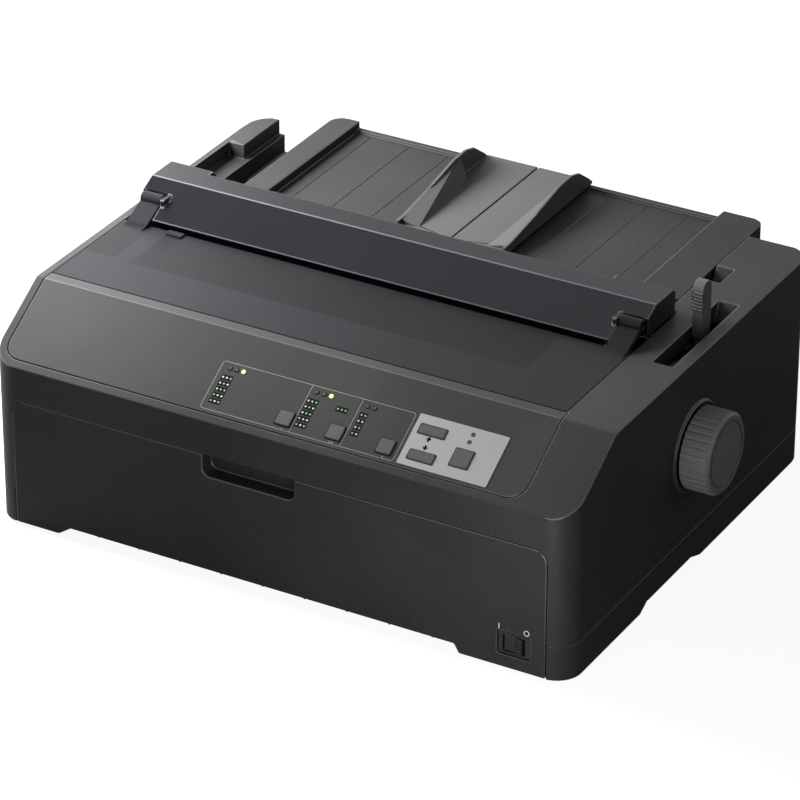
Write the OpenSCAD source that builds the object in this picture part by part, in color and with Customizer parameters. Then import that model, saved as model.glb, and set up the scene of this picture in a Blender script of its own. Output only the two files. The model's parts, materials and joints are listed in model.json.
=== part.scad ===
// Dot matrix printer, narrow carriage. Units are millimetres.
// X runs from left to right, Y from the front to the back, Z up from the table.
// Places below are counted from the middle of the housing's front edge at table height.
// at_origin() then moves every piece so that the outline is centred over the origin.

/* [Housing] */
// Width of the housing
body_w = 414; // [408:2:420]
// Depth of the housing, front wall to back wall
body_d = 332; // [328:2:340]
// Height of the flat top above the table
top_z = 150; // [148:0.5:153]
// Height of the joint between base and upper housing
parting_z = 26.5; // [25.5:0.5:29]
// Height of the front lip, where the control slope starts
lip_z = 115.2; // [112:0.4:118]
// Distance behind the front wall at which the slope meets the flat top
kink_y = 56.5; // [54:0.5:58]
// Radius of the upright corners
corner_r = 17; // [14:1:20]
// Wall thickness of the plastic shells
wall = 2.6; // [2.2:0.1:3]
// Height of the rubber feet
foot_h = 2.5; // [2:0.25:3.5]
// Visible gap between neighbouring covers
seam = 0.5; // [0.4:0.05:0.8]

/* [Front cover] */
// Distance of the front cover's side edges from the housing's sides
front_inset = 16.2; // [16:0.2:19]
// Height of the front cover's top edge
front_top_z = 91.4; // [88:0.2:94]
// Height of the raised bottom edge between the two end parts
front_raise_z = 9; // [8:0.2:10]
// Width of the finger recess
recess_w = 66; // [56:1:72]
// Height of the finger recess
recess_h = 15; // [13:0.5:17]
// Middle of the finger recess, from the middle of the housing
recess_x = -17.3; // [-22:0.1:-12]
// How far the rocker of the power switch stands out of the front
rocker_out = 1.5; // [1:0.1:2]

/* [Lid and hood] */
// Distance of the lid's and the hood's left edge from the housing's left side
lid_inset_left = 6.2; // [5:0.2:8]
// Distance of the lid's and the hood's right edge from the housing's right side
lid_inset_right = 38.8; // [38:0.2:39.4]
// Distance of the lid's front edge behind the front wall
lid_front_y = 65; // [63:0.5:67]
// Distance of the hood's front edge behind the front wall
hood_front_y = 153.5; // [152.5:0.5:155]
// Distance of the hood's ridge behind the front wall
hood_ridge_y = 185; // [182:0.5:188]
// Distance of the hood's back wall behind the front wall
hood_back_y = 211.5; // [210.5:0.5:213]
// Height of the hood's ridge above the flat top
hood_rise = 18.5; // [17.5:0.1:19]
// Thickness of the smoked plastic
smoke_t = 2.4; // [2:0.1:2.8]

/* [Sheet tray] */
// Distance of the tray's left rail from the housing's left side
tray_inset_left = 44.4; // [42:0.2:47]
// Distance of the tray's right rail from the housing's right side
tray_inset_right = 46.6; // [46.2:0.2:48]
// Distance of the tray's back edge behind the front wall
tray_back_y = 358.6; // [350:0.2:366]
// Height of the tray's sheet surface
tray_z = 142; // [141:0.2:143]
// Spacing of the long grooves in the tray
groove_pitch = 30; // [26:1:34]
// Height of an edge guide's fence above its plate
fence_h = 15.8; // [12:0.2:18]

/* [Paper drive] */
// Radius of the platen's rubber
platen_r = 17; // [16:0.5:17.5]
// Radius of the platen's steel shaft
shaft_r = 4; // [3:0.25:5]
// Radius of the platen knob
knob_r = 27; // [25:0.5:28]
// How far the platen knob stands out of the side wall
knob_out = 22; // [18:1:26]
// Module of the gears
gear_m = 1; // [0.9:0.05:1.05]
// Width of the gears
gear_w = 5; // [4:0.5:6]

/* [Carriage] */
// Radius of the guide rod
rod_r = 4; // [3:0.25:5]
// Width of the carriage
carriage_w = 44; // [38:2:50]
// Rest place of the carriage's middle, from the left side frame
carriage_rest = 36; // [34:1:42]
// Radius of the belt pulleys
pulley_r = 8; // [6:0.5:9]

/* [Keys] */
// Edge of the small square keys
key_w = 9.9; // [9:0.1:10.5]
// Height of the keys above the cover
key_proud = 0.9; // [0.6:0.1:1.4]
// Travel of the keys
key_travel = 0.8; // [0.5:0.1:1]
// Radius of the indicator lamps
lamp_r = 1.4; // [1.1:0.1:1.7]

/* [Hidden] */

$fn = 48;
// Running clearance of a pin in its bore, on the radius
fit = 0.05;
// Clearance between pieces that pass each other
clear = 0.4;
// Gap at which one piece rests on another
rest = 0.2;
// Overlap that fuses two shapes of one piece, and overshoot of a cut
join = 0.6;
half_w = body_w / 2;
front_half_w = half_w - front_inset;
lid_left_x = -half_w + lid_inset_left;
lid_right_x = half_w - lid_inset_right;
tray_left_x = -half_w + tray_inset_left;
tray_right_x = half_w - tray_inset_right;
slope = atan((top_z - lip_z) / kink_y);
slope_len = norm([kink_y, top_z - lip_z]);

// Colours
shell_grey = [0.16, 0.16, 0.165];
smoke = [0.22, 0.21, 0.24];
guide_grey = [0.44, 0.45, 0.45];
steel = [0.62, 0.63, 0.65];
ivory = [0.82, 0.80, 0.74];
soot = [0.08, 0.08, 0.085];
green = [0.10, 0.35, 0.18];

// ---- helpers -------------------------------------------------------------

module at_origin()
    translate([-knob_out / 2, (rocker_out - guide_back_y) / 2, 0]) children();

// Extrudes a (Y, Z) outline from x0 to x1
module along_x(x0, x1)
    translate([x0, 0, 0]) rotate([90, 0, 90]) linear_extrude(x1 - x0) children();

// Extrudes an (X, Z) outline from y0 to y1
module along_y(y0, y1)
    translate([0, y1, 0]) rotate([90, 0, 0]) linear_extrude(y1 - y0) children();

// A block from its low corner to its high corner
module box(low, high) translate(low) cube(high - low);

// A round bar along X at c = [y, z]
module bar_x(x0, x1, c, r, fn = 48)
    translate([x0, c.x, c.y]) rotate([0, 90, 0]) cylinder(h = x1 - x0, r = r, $fn = fn);

// A round bar along Z at [x, y]
module bar_z(z0, z1, x, y, r, fn = 48)
    translate([x, y, z0]) cylinder(h = z1 - z0, r = r, $fn = fn);

// The plane of the control slope: X, distance up the slope, height above it
module on_slope() translate([0, 0, lip_z]) rotate([slope, 0, 0]) children();

function unit(v) = v / norm(v);

// The arc of radius r that rounds the corner b of the path a, b, c
function corner_arc(a, b, c, r, n) =
    let (u = unit(a - b), v = unit(c - b), half = acos(u * v) / 2,
        mid = b + unit(u + v) * r / sin(half),
        p = b + u * r / tan(half) - mid, q = b + v * r / tan(half) - mid,
        a0 = atan2(p.y, p.x), sweep = atan2(p.x * q.y - p.y * q.x, p * q))
    [for (i = [0:n]) mid + r * [cos(a0 + sweep * i / n), sin(a0 + sweep * i / n)]];

// A closed outline with each corner rounded by its own radius
function rounded(pts, radii, n = 6) =
    let (m = len(pts))
    [for (i = [0:m - 1]) each radii[i] > 0
        ? corner_arc(pts[(i + m - 1) % m], pts[i], pts[(i + 1) % m], radii[i], n) : [pts[i]]];

function rect(x0, y0, x1, y1) = [[x0, y0], [x1, y0], [x1, y1], [x0, y1]];

function round_rect(x0, y0, x1, y1, r, n = 5) =
    rounded(rect(x0, y0, x1, y1), [r, r, r, r], n);

function turn(p, a) = [p.x * cos(a) - p.y * sin(a), p.x * sin(a) + p.y * cos(a)];

// A point on the involute of a base circle, at a roll angle in degrees
function involute(base, a) =
    let (arc = base * a * PI / 180) [base * cos(a) + arc * sin(a), base * sin(a) - arc * cos(a)];

// An involute gear's outline, with a tooth on the X axis and play at the pitch circle
function gear_outline(teeth, play = 0.16, n = 3) =
    let (pr = teeth * gear_m / 2, base = pr * cos(20),
        tip = pr + 0.9 * gear_m, root = pr - 1.15 * gear_m,
        low = root > base ? tan(acos(base / root)) * 180 / PI : 0,
        high = tan(acos(base / tip)) * 180 / PI,
        half = 90 / teeth - play / pr * 90 / PI + tan(20) * 180 / PI - 20)
    [for (k = [0:teeth - 1]) let (c = k * 360 / teeth) each concat(
        root < base ? [turn([root, 0], c - half)] : [],
        [for (i = [0:n]) turn(involute(base, low + (high - low) * i / n), c - half)],
        [for (i = [n:-1:0]) let (p = involute(base, low + (high - low) * i / n))
            turn([p.x, -p.y], c + half)],
        root < base ? [turn([root, 0], c + half)] : [])];

// A gear of the paper drive at c = [y, z], turned by phase, on a bore of radius r
module gear(teeth, c, phase, r)
    difference() {
        along_x(gear_x, gear_x + gear_w)
            translate(c) rotate(phase) polygon(gear_outline(teeth));
        bar_x(gear_x - 1, gear_x + gear_w + 1, c, r);
    }

// ---- shared places, written as [y, z] where they lie on an X axis ----------

// Platen axis
platen_c = [165.5, 88.2];
// Inner faces of the side frames
frame_t = 2;
frame_l = lid_left_x + 18.8;
frame_r = lid_right_x - 2.2;
frame_low_z = parting_z + 3.5;
carriage_x = frame_l + carriage_rest;
// Gears on the outside of the right frame
gear_x = frame_r + frame_t + 4;
teeth_platen = 48;
teeth_idler = 24;
teeth_pinion = 14;
teeth_tractor = 36;
stub_r = 3;
// The centre of a wheel that meshes with the wheel at p, in the direction a
function meshed(p, t1, t2, a) = p + gear_m * (t1 + t2) / 2 * [cos(a), sin(a)];
// The turn that puts a wheel's gap on the tooth of the wheel that drives it
function phase(t1, p1, t2, a) = a + 180 + 180 / t2 + (a - p1) * t1 / t2;
idler_c = meshed(platen_c, teeth_platen, teeth_idler, -60);
idler_phase = phase(teeth_platen, 0, teeth_idler, -60);
pinion_c = meshed(idler_c, teeth_idler, teeth_pinion, -30);
pinion_phase = phase(teeth_idler, idler_phase, teeth_pinion, -30);
mid_c = meshed(platen_c, teeth_platen, teeth_tractor, 7.5);
mid_phase = phase(teeth_platen, 0, teeth_tractor, 7.5);
tractor_c = meshed(mid_c, teeth_tractor, teeth_tractor, 3.75);
tractor_phase = phase(teeth_tractor, mid_phase, teeth_tractor, 3.75);
tractor_rod_c = tractor_c + [26, 0];
bail_r = 6;
bail_c = platen_c + (platen_r + bail_r + 0.3) * [cos(70), sin(70)];
rod_c = [120, 62];
// Recess of the tray in the upper housing
recess_left = tray_left_x - 24.7;
recess_right = tray_right_x + 1.6;
ledge_z = tray_z - 2.5;
recess_floor = tray_z - 15.5;
strip_x = -half_w + 4;
block_x = recess_left - 4.3;
block_y = body_d - 47;
// Tray
tray_t = 2.4;
tray_front_y = hood_back_y + 20.5;
rail_z = tray_z + 6.5;
rail_low_z = tray_z - 10;
front_edge_h = 5;
rail_left_w = 18.6;
rail_right_w = 30.2;
lip_h = 1.8;
lip_w = 4.6;
pivot_r = 2.5;
pivot_c = [tray_front_y + 13, tray_z - 6];
// Edge guides
guide_low_z = tray_z + lip_h + rest;
guide_t = 2.2;
guide_back_y = tray_back_y + 1.9;
guide_left_x = -48;
guide_right_x = 33;
// Front cover hinge
front_pin_c = [6, 11];
front_pin_r = 2;
front_swing_r = 11.6;
// Lid hinge
barrel_r = 4.3;
barrel_w = 15.4;
lid_pin_r = 1.8;
lid_pin_c = [hood_front_y + 15.5, top_z + 10];
// Hood hinge
hood_pin_r = 1.5;
hood_gap_y = hood_back_y + 3.5;
hood_pin_c = [hood_back_y - 2, top_z - 2.5];
// Levers
lever_x = lid_right_x + 17.4;
lever_w = 7.2;
lever_c = [205.5, 63];
lever_pin_r = 3;
thick_c = [108, 92];
// Control cover
cover_right_x = lid_right_x + 1.4;
cover_low_s = 6.2;
cover_t = wall;
// Power switch
switch_x = front_half_w - 21.6;
switch_z = 19.6;
switch_w = 22;
switch_h = 15;
// Back wall ports
port_x = -60;
port_w = 66;
port_z = 34;
port_h = 16;
inlet_x = half_w - 57;
inlet_w = 28;
inlet_z = 32;
inlet_h = 20;

// ---- housing -------------------------------------------------------------

module plan(inset)
    polygon(rounded(rect(-half_w + inset, inset, half_w - inset, body_d - inset),
        [for (i = [0:3]) corner_r - inset], 8));

// A point of the side view, at distance s up the slope and depth d below the skin
function slope_at(s, d) = [s * cos(slope) + d * sin(slope), lip_z + s * sin(slope) - d * cos(slope)];
// The kink of the side view at depth d
function kink_at(d) = [(top_z - d - lip_z + d / cos(slope)) / tan(slope), top_z - d];

// Side view of the upper housing, moved inward by inset
module side_view(inset, low)
    polygon(rounded([[inset, low], [inset, lip_z + inset * tan(slope) - inset / cos(slope)],
        kink_at(inset), [body_d - inset, top_z - inset], [body_d - inset, low]],
        [0, 1.4, 6, 1.6, 0], 4));

module upper_block(inset, low)
    intersection() {
        translate([0, 0, low]) linear_extrude(top_z) plan(inset);
        along_x(-half_w - 1, half_w + 1) side_view(inset, low);
    }

// The slope and the flat top behind it, between two depths, up to the flat end y1
module band(d0, d1, s0, y1)
    polygon([slope_at(s0, d0), kink_at(d0), [y1, top_z - d0], [y1, top_z - d1],
        kink_at(d1), slope_at(s0, d1)]);

// The control cover's slab, grown on each side
module cover_slab(grow, d0, d1)
    intersection() {
        along_x(lid_left_x - grow, cover_right_x + grow)
            band(d0, d1, cover_low_s - grow, lid_front_y);
        on_slope() translate([0, 0, -14]) linear_extrude(22)
            polygon(rounded(rect(lid_left_x - grow, cover_low_s - grow,
                cover_right_x + grow, slope_len + 14), [12, 12, 0, 0]));
    }

module front_outline(grow)
    polygon(rounded(rect(-front_half_w - grow, -1, front_half_w + grow, front_top_z + grow),
        [0, 0, 9, 9]));

// Walls, floors and ledges inside the upper housing, before its openings are cut
module housing_walls() {
    // Ledge under the control cover and the lid's front edge
    along_x(lid_left_x - 3, cover_right_x + 3) band(wall - join, wall + 2.4, 2, lid_front_y + 4);
    // Left strip, pocket floor and closed block beside the tray
    box([-half_w + join, hood_back_y - 20, ledge_z - wall], [strip_x, block_y + join, top_z]);
    box([-half_w + join, hood_gap_y, ledge_z - wall], [recess_left, body_d - join, ledge_z]);
    box([-half_w + join, block_y, ledge_z - wall], [block_x, block_y + wall, top_z]);
    box([block_x - wall, block_y, ledge_z - wall], [block_x, body_d - join, top_z]);
    // Recess of the tray
    box([recess_left - wall, hood_gap_y, recess_floor - wall],
        [recess_left, body_d - join, ledge_z]);
    box([recess_right, hood_gap_y, recess_floor - wall],
        [recess_right + wall, body_d - join, top_z - join]);
    box([recess_left - wall, tractor_rod_c.x + 12, recess_floor - wall],
        [recess_right + wall, body_d - join, recess_floor]);
    // Cheeks that carry the hood
    box([lid_left_x - seam - wall, hood_front_y, top_z - 16],
        [lid_left_x - seam, hood_gap_y + wall, top_z - join]);
    box([lid_right_x + seam, hood_front_y, top_z - 16],
        [lid_right_x + seam + wall, hood_gap_y + wall, top_z - join]);
    box([recess_right, hood_gap_y, top_z - 16],
        [lid_right_x + seam + wall, hood_gap_y + wall, top_z - join]);
    box([-half_w + join, hood_gap_y, top_z - 16],
        [lid_left_x, hood_gap_y + wall, top_z - join]);
    // Walls of the release lever's slot
    box([lever_x - 2.8, 145, top_z - 12], [lever_x + 15, 244, top_z - join]);
    // Pocket beside the tray
    box([recess_right, 260, top_z - 11], [recess_right + 15, 287, top_z - join]);
}

module upper_housing() at_origin() color(shell_grey) difference() {
    union() {
        difference() {
            upper_block(0, parting_z);
            upper_block(wall, parting_z - 1);
        }
        intersection() {
            upper_block(0.3, parting_z);
            housing_walls();
        }
        bar_x(half_w - join, half_w + 1.8, platen_c, knob_r + 3);
    }
    along_y(-1, wall + 1) front_outline(seam);
    // Seat of the control cover, and the opening inside its ledge
    cover_slab(seam, -3, cover_t);
    along_x(lid_left_x + 4, lid_right_x - 4) band(-3, 12, cover_low_s + 4, lid_front_y - 4);
    // Lid and hood
    box([lid_left_x - seam, lid_front_y - seam, top_z - wall],
        [lid_right_x + seam, hood_gap_y, top_z + 1]);
    box([lid_left_x - seam, lid_front_y + 4, top_z - 12],
        [lid_right_x + seam, hood_gap_y, top_z + 1]);
    // Tray recess, open through the back wall
    box([recess_left, hood_back_y, top_z - 12], [recess_right, body_d + 1, top_z + 1]);
    box([recess_left, body_d - 2 * wall, recess_floor], [recess_right, body_d + 1, top_z + 1]);
    box([strip_x, hood_back_y + 0.5, ledge_z], [recess_left + 1, block_y, top_z + 1]);
    box([block_x, block_y - 1, ledge_z], [recess_left + 1, body_d + 1, top_z + 1]);
    // Release lever's slot, with a sloped rear end
    along_x(lever_x - 0.8, lever_x + 13)
        polygon([[147.8, top_z - 16], [230, top_z - 16], [241.2, top_z + 0.1], [241.2, top_z + 1],
            [147.8, top_z + 1]]);
    // Pocket beside the tray
    along_x(recess_right - 4, recess_right + 12.6)
        polygon([[263, top_z - 9], [277, top_z - 9], [284, top_z + 0.1], [284, top_z + 1],
            [263, top_z + 1]]);
    // Groove inside the knob's ring, and the shaft's hole
    bar_x(half_w + 0.4, half_w + 3, platen_c, knob_r + 1.2);
    bar_x(half_w - 8, half_w + 3, platen_c, shaft_r + 2);
    // Pins of the hood, rod of the tray
    bar_x(lid_left_x - 4, lid_left_x, hood_pin_c, hood_pin_r);
    bar_x(lid_right_x, lid_right_x + 4, hood_pin_c, hood_pin_r);
    bar_x(recess_left - wall - 1, recess_left + 1, pivot_c, pivot_r);
    bar_x(recess_right - 1, recess_right + wall + 1, pivot_c, pivot_r);
    // Back wall: cooling slots, ports and mains inlet
    for (i = [0:13])
        box([-172 + 8 * i, body_d - 2 * wall, 62], [-168 + 8 * i, body_d + 1, 98]);
    box([port_x, body_d - 2 * wall, port_z], [port_x + port_w, body_d + 1, port_z + port_h]);
    box([inlet_x, body_d - 2 * wall, inlet_z], [inlet_x + inlet_w, body_d + 1, inlet_z + inlet_h]);
}

// The hand grips low on both sides, moved outward by grow
module grips(grow)
    for (m = [0, 1]) mirror([m, 0, 0])
        along_x(half_w - 22 - grow, half_w + 1)
            polygon([[95 - grow, foot_h - 1], [106 - grow, 7 + grow],
                [166 + grow, 7 + grow], [182 + grow, foot_h - 1]]);

base_floor = foot_h + wall;
// Main board and power supply, on posts of the base
post_h = 5;
board_w = 224;
board_d = 150;
board_left = frame_l + 16;
board_right = board_left + board_w;
board_back = body_d - 32;
board_front = board_back - board_d;
board_z = base_floor + post_h;
supply_w = 122;
supply_d = 42;
supply_left = half_w - supply_w - 9;
supply_right = supply_left + supply_w;
supply_front = body_d - 70;
supply_back = supply_front + supply_d;
supply_z = base_floor + post_h;

module base_case() at_origin() color(shell_grey) difference() {
    union() {
        difference() {
            translate([0, 0, foot_h]) linear_extrude(parting_z - foot_h) plan(0);
            translate([0, 0, base_floor]) linear_extrude(parting_z) plan(wall);
            grips(0);
        }
        intersection() {
            translate([0, 0, foot_h]) linear_extrude(parting_z - foot_h) plan(0.3);
            union() {
                difference() {
                    grips(wall);
                    grips(0);
                }
                // Front wall behind the cover, and its end cheeks
                box([-half_w, front_pin_c.x + front_swing_r, foot_h],
                    [half_w, front_pin_c.x + front_swing_r + wall, parting_z]);
                for (x = [-front_half_w - seam - wall - 2, front_half_w + seam])
                    box([x, 0, foot_h], [x + wall + 2, front_pin_c.x + front_swing_r + 1, parting_z]);
            }
        }
        // Posts of the chassis and the boards
        for (x = [frame_l + 8, frame_r - 8], y = [cross_front + 8, cross_back - 12])
            bar_z(foot_h + 1, frame_low_z, x, y, 4);
        for (x = [board_left + 6, board_right - 6], y = [board_front + 6, board_back - 6])
            bar_z(foot_h + 1, board_z, x, y, 4);
        for (x = [supply_left + 6, supply_right - 6], y = [supply_front + 6, supply_back - 6])
            bar_z(foot_h + 1, supply_z, x, y, 4);
        box([switch_x - switch_w / 2 - 4, front_pin_c.x + front_swing_r + 1, foot_h + 1],
            [switch_x + switch_w / 2 + 4, 40, switch_z - switch_h / 2]);
    }
    // Room for the front cover and its swing
    box([-front_half_w - seam, -1, foot_h - 1],
        [front_half_w + seam, front_pin_c.x + front_swing_r, parting_z + 1]);
    for (m = [0, 1]) mirror([m, 0, 0])
        bar_x(front_half_w - 1, front_half_w + 4, front_pin_c, front_pin_r);
    // The switch's body passes through the front wall
    box([switch_x - switch_w / 2 - clear, 10, switch_z - switch_h / 2],
        [switch_x + switch_w / 2 + clear, 30, parting_z + 1]);
}

module rubber_feet() at_origin() color(soot)
    for (x = [-half_w + 24, half_w - 24], y = [34, body_d - 24])
        bar_z(0, foot_h, x, y, 9);

// ---- front cover ---------------------------------------------------------

module front_cover() at_origin() color(shell_grey) {
    low = foot_h + 0.4;
    left = recess_x - recess_w / 2;
    right = recess_x + recess_w / 2;
    difference() {
        union() {
            difference() {
                along_y(0, wall) polygon(rounded(
                    [[-front_half_w, low], [-159, low], [-150, front_raise_z],
                    [128, front_raise_z], [131.5, low], [front_half_w, low],
                    [front_half_w, front_top_z], [-front_half_w, front_top_z]],
                    [0, 0, 0, 0, 0, 0, 8.5, 8.5]));
                along_y(-1, wall + 1) polygon(rounded(
                    rect(left, front_top_z - recess_h, right, front_top_z + 2), [5, 5, 0, 0]));
            }
            // Pocket behind the finger recess
            difference() {
                box([left - 2, join, front_top_z - recess_h - 2], [right + 2, 13, front_top_z - 1]);
                along_y(-1, 11) polygon(rounded(
                    rect(left, front_top_z - recess_h, right, front_top_z + 2), [5, 5, 0, 0]));
            }
            // Rim at the ends, ears of the hinge, ribs along the bottom edge
            for (m = [0, 1]) mirror([m, 0, 0]) {
                box([front_half_w - 2, join, front_pin_c.y + 8], [front_half_w, 6, front_top_z - 10]);
                bar_x(front_half_w - 6.5, front_half_w - 2.5, front_pin_c, 5);
                box([front_half_w - 6.5, join, front_pin_c.y - 5],
                    [front_half_w - 2.5, front_pin_c.x, front_pin_c.y + 5]);
            }
            for (i = [0:8])
                box([-129.5 + 30.25 * i, 0, front_raise_z - 0.6],
                    [-128.5 + 30.25 * i, 1.6, front_raise_z + 0.5]);
        }
        for (m = [0, 1]) mirror([m, 0, 0])
            bar_x(front_half_w - 8, front_half_w, front_pin_c, front_pin_r + fit);
        // Window of the power switch
        box([switch_x - switch_w / 2 - clear, -1, switch_z - switch_h / 2 - clear],
            [switch_x + switch_w / 2 + clear, wall + 1, switch_z + switch_h / 2 + 1.2]);
    }
}

module front_hinge_pins() at_origin() color(steel)
    for (m = [0, 1]) mirror([m, 0, 0])
        bar_x(front_half_w - 7, front_half_w + 3, front_pin_c, front_pin_r);

// ---- power switch --------------------------------------------------------

rocker_w = 13.4;
rocker_h = 11;
// Upright axis of the rocker, as [x, y]
rocker_c = [switch_x - 0.4, 5];

module power_switch() at_origin() color(soot) difference() {
    box([switch_x - switch_w / 2, 1.2, switch_z - switch_h / 2 + rest],
        [switch_x + switch_w / 2, 24, switch_z + switch_h / 2]);
    box([rocker_c.x - rocker_w / 2 - 1, 0, switch_z - rocker_h / 2 - clear],
        [rocker_c.x + rocker_w / 2 + 1, 12, switch_z + rocker_h / 2 + clear]);
    bar_z(switch_z - rocker_h / 2 - 1.8, switch_z + rocker_h / 2 + 1.8, rocker_c.x, rocker_c.y, 1.25);
}

// The rocker rests in its ON place, with the right end standing out
module power_rocker() at_origin() color(shell_grey) {
    translate([0, 0, switch_z - rocker_h / 2]) linear_extrude(rocker_h)
        polygon([[rocker_c.x - rocker_w / 2, 1.7], [rocker_c.x, 1.6],
            [rocker_c.x + rocker_w / 2 - 0.3, -rocker_out], [rocker_c.x + rocker_w / 2, 1.4],
            [rocker_c.x + 4, 7.4], [rocker_c.x - 4, 7.4]]);
    bar_z(switch_z - rocker_h / 2 - 1.6, switch_z + rocker_h / 2 + 1.6, rocker_c.x, rocker_c.y, 1.2);
}

// ---- control panel -------------------------------------------------------

board_depth = 12;
// Keys as [x, s, width, height]
square_keys = [[1.3, 16.8], [37, 16.8], [72.2, 16.8]];
upper_key = [96.2, 35, 17.6, 6.2];
lower_key = [97, 16.6, 17, 6.2];
right_key = [122.1, 22.6, 12, 12];
lit_lamps = [[-39.8, 39.7], [23, 39.7]];
dark_lamps = [[-49.6, 39.7], [-44.8, 39.7], [12.6, 39.7], [17.8, 39.7], [48.3, 39.7],
    [53.4, 39.7], [121.7, 40], [121.7, 34.6]];
label_left = 83.4;
label_right = 145;
label_t = 0.3;

module key_hole(k, grow)
    translate([k[0] - k[2] / 2 - grow, k[1] - k[3] / 2 - grow, -20])
        cube([k[2] + 2 * grow, k[3] + 2 * grow, 40]);

function square_key(i) = [square_keys[i][0], square_keys[i][1], key_w, key_w];
all_keys = [square_key(0), square_key(1), square_key(2), upper_key, lower_key, right_key];

module control_cover() at_origin() color(shell_grey) difference() {
    cover_slab(0, 0, cover_t);
    on_slope() {
        for (k = all_keys) key_hole(k, 0.25);
        for (p = concat(lit_lamps, dark_lamps))
            translate([p.x, p.y, -8]) cylinder(h = 12, r = lamp_r + 0.1);
    }
}

module label_plate() at_origin() color(steel) on_slope() difference() {
    linear_extrude(label_t) polygon(round_rect(label_left, 8.4, label_right, 44.8, 1));
    for (k = [upper_key, lower_key, right_key]) key_hole(k, 0.25);
    for (p = dark_lamps)
        translate([p.x, p.y, -1]) cylinder(h = 3, r = lamp_r + 0.1);
}

// A key with its retaining flange and its stem down to the board
module key(k) at_origin() color(shell_grey) on_slope() {
    translate([0, 0, -cover_t - 1.6]) linear_extrude(cover_t + 1.6 + key_proud)
        polygon(round_rect(k[0] - k[2] / 2, k[1] - k[3] / 2, k[0] + k[2] / 2, k[1] + k[3] / 2, 0.6));
    translate([k[0] - k[2] / 2 - 1.2, k[1] - k[3] / 2 - 1.2, -cover_t - 1.7])
        cube([k[2] + 2.4, k[3] + 2.4, 1.5]);
    translate([k[0], k[1], -board_depth + key_travel + rest])
        cylinder(h = board_depth - key_travel - rest - cover_t - 1, r = 2);
}

module key_one() key(square_key(0));
module key_two() key(square_key(1));
module key_three() key(square_key(2));
module key_upper() key(upper_key);
module key_lower() key(lower_key);
module key_right() key(right_key);

panel_left = -62;
panel_right = right_key[0] + 28;
panel_low = 6;
panel_h = 42;
board_t = 1.6;
post_r = 3;

module panel_board() at_origin() color(green) on_slope() {
    translate([panel_left, panel_low, -board_depth - board_t]) cube([panel_right - panel_left, panel_h, board_t]);
    for (x = [panel_left + 4, panel_right - 4], s = [panel_low + 8, panel_low + panel_h - 5])
        translate([x, s, -board_depth - join])
            cylinder(h = board_depth + join - cover_t, r = post_r);
}

module lamps(places)
    at_origin() on_slope() for (p = places)
        translate([p.x, p.y, -board_depth]) cylinder(h = board_depth + 0.5, r = lamp_r);

module lamps_lit() color([0.55, 0.9, 0.35]) lamps(lit_lamps);
module lamps_dark() color([0.25, 0.32, 0.22]) lamps(dark_lamps);

// ---- lid and hood --------------------------------------------------------

barrel_left_x = lid_left_x + 3.3;
barrel_right_x = lid_right_x - 1.2 - barrel_w;
barrels = [barrel_left_x, barrel_right_x];
lid_back_y = hood_front_y - 2;
hinge_arm = [[lid_back_y - 10, top_z - smoke_t], [lid_back_y - 10, top_z], [lid_back_y - 4, top_z + 1.2],
    [lid_pin_c.x - 5, lid_pin_c.y - 1], [lid_pin_c.x, lid_pin_c.y - 1],
    [lid_pin_c.x, lid_pin_c.y - 3.4], [lid_back_y - 2, top_z - smoke_t]];

module printer_lid() at_origin() color(smoke) difference() {
    union() {
        box([lid_left_x, lid_front_y + seam, top_z - smoke_t], [lid_right_x, lid_back_y, top_z]);
        for (x = barrels) {
            along_x(x, x + barrel_w) polygon(hinge_arm);
            bar_x(x, x + barrel_w, lid_pin_c, barrel_r);
        }
        // Finger tab at the left rear, stiffening ribs below
        box([lid_left_x + 34, lid_back_y - 6, top_z - join], [lid_left_x + 46, lid_back_y, top_z + 1.2]);
        for (x = [lid_left_x + 3, lid_right_x - 5])
            box([x, lid_front_y + 8, top_z - 5], [x + 2, lid_back_y - 2, top_z - smoke_t + join]);
    }
    for (x = barrels)
        bar_x(x - 1, x + barrel_w + 1, lid_pin_c, lid_pin_r + fit);
}

// The pins stand out of the hood, towards its two ends
module lid_hinge_pins() at_origin() color(steel) {
    bar_x(barrel_left_x + 1, barrel_left_x + barrel_w + 6, lid_pin_c, lid_pin_r);
    bar_x(barrel_right_x - 6, barrel_right_x + barrel_w - 1, lid_pin_c, lid_pin_r);
}

// The hood's side view, with its back wall at y = back, inset by d
module hood_view(back, d)
    polygon([[hood_front_y + d, top_z + 3.4 - d], [hood_ridge_y + d * 0.3, top_z + hood_rise - d],
        [back - 3.5, top_z + hood_rise - d], [back - d, top_z + hood_rise - 2.6 - d * 0.4],
        [back - d, top_z + 0.6 - 2 * d], [hood_front_y + 2 + 3 * d, top_z + 0.6 - 2 * d]]);

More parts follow.
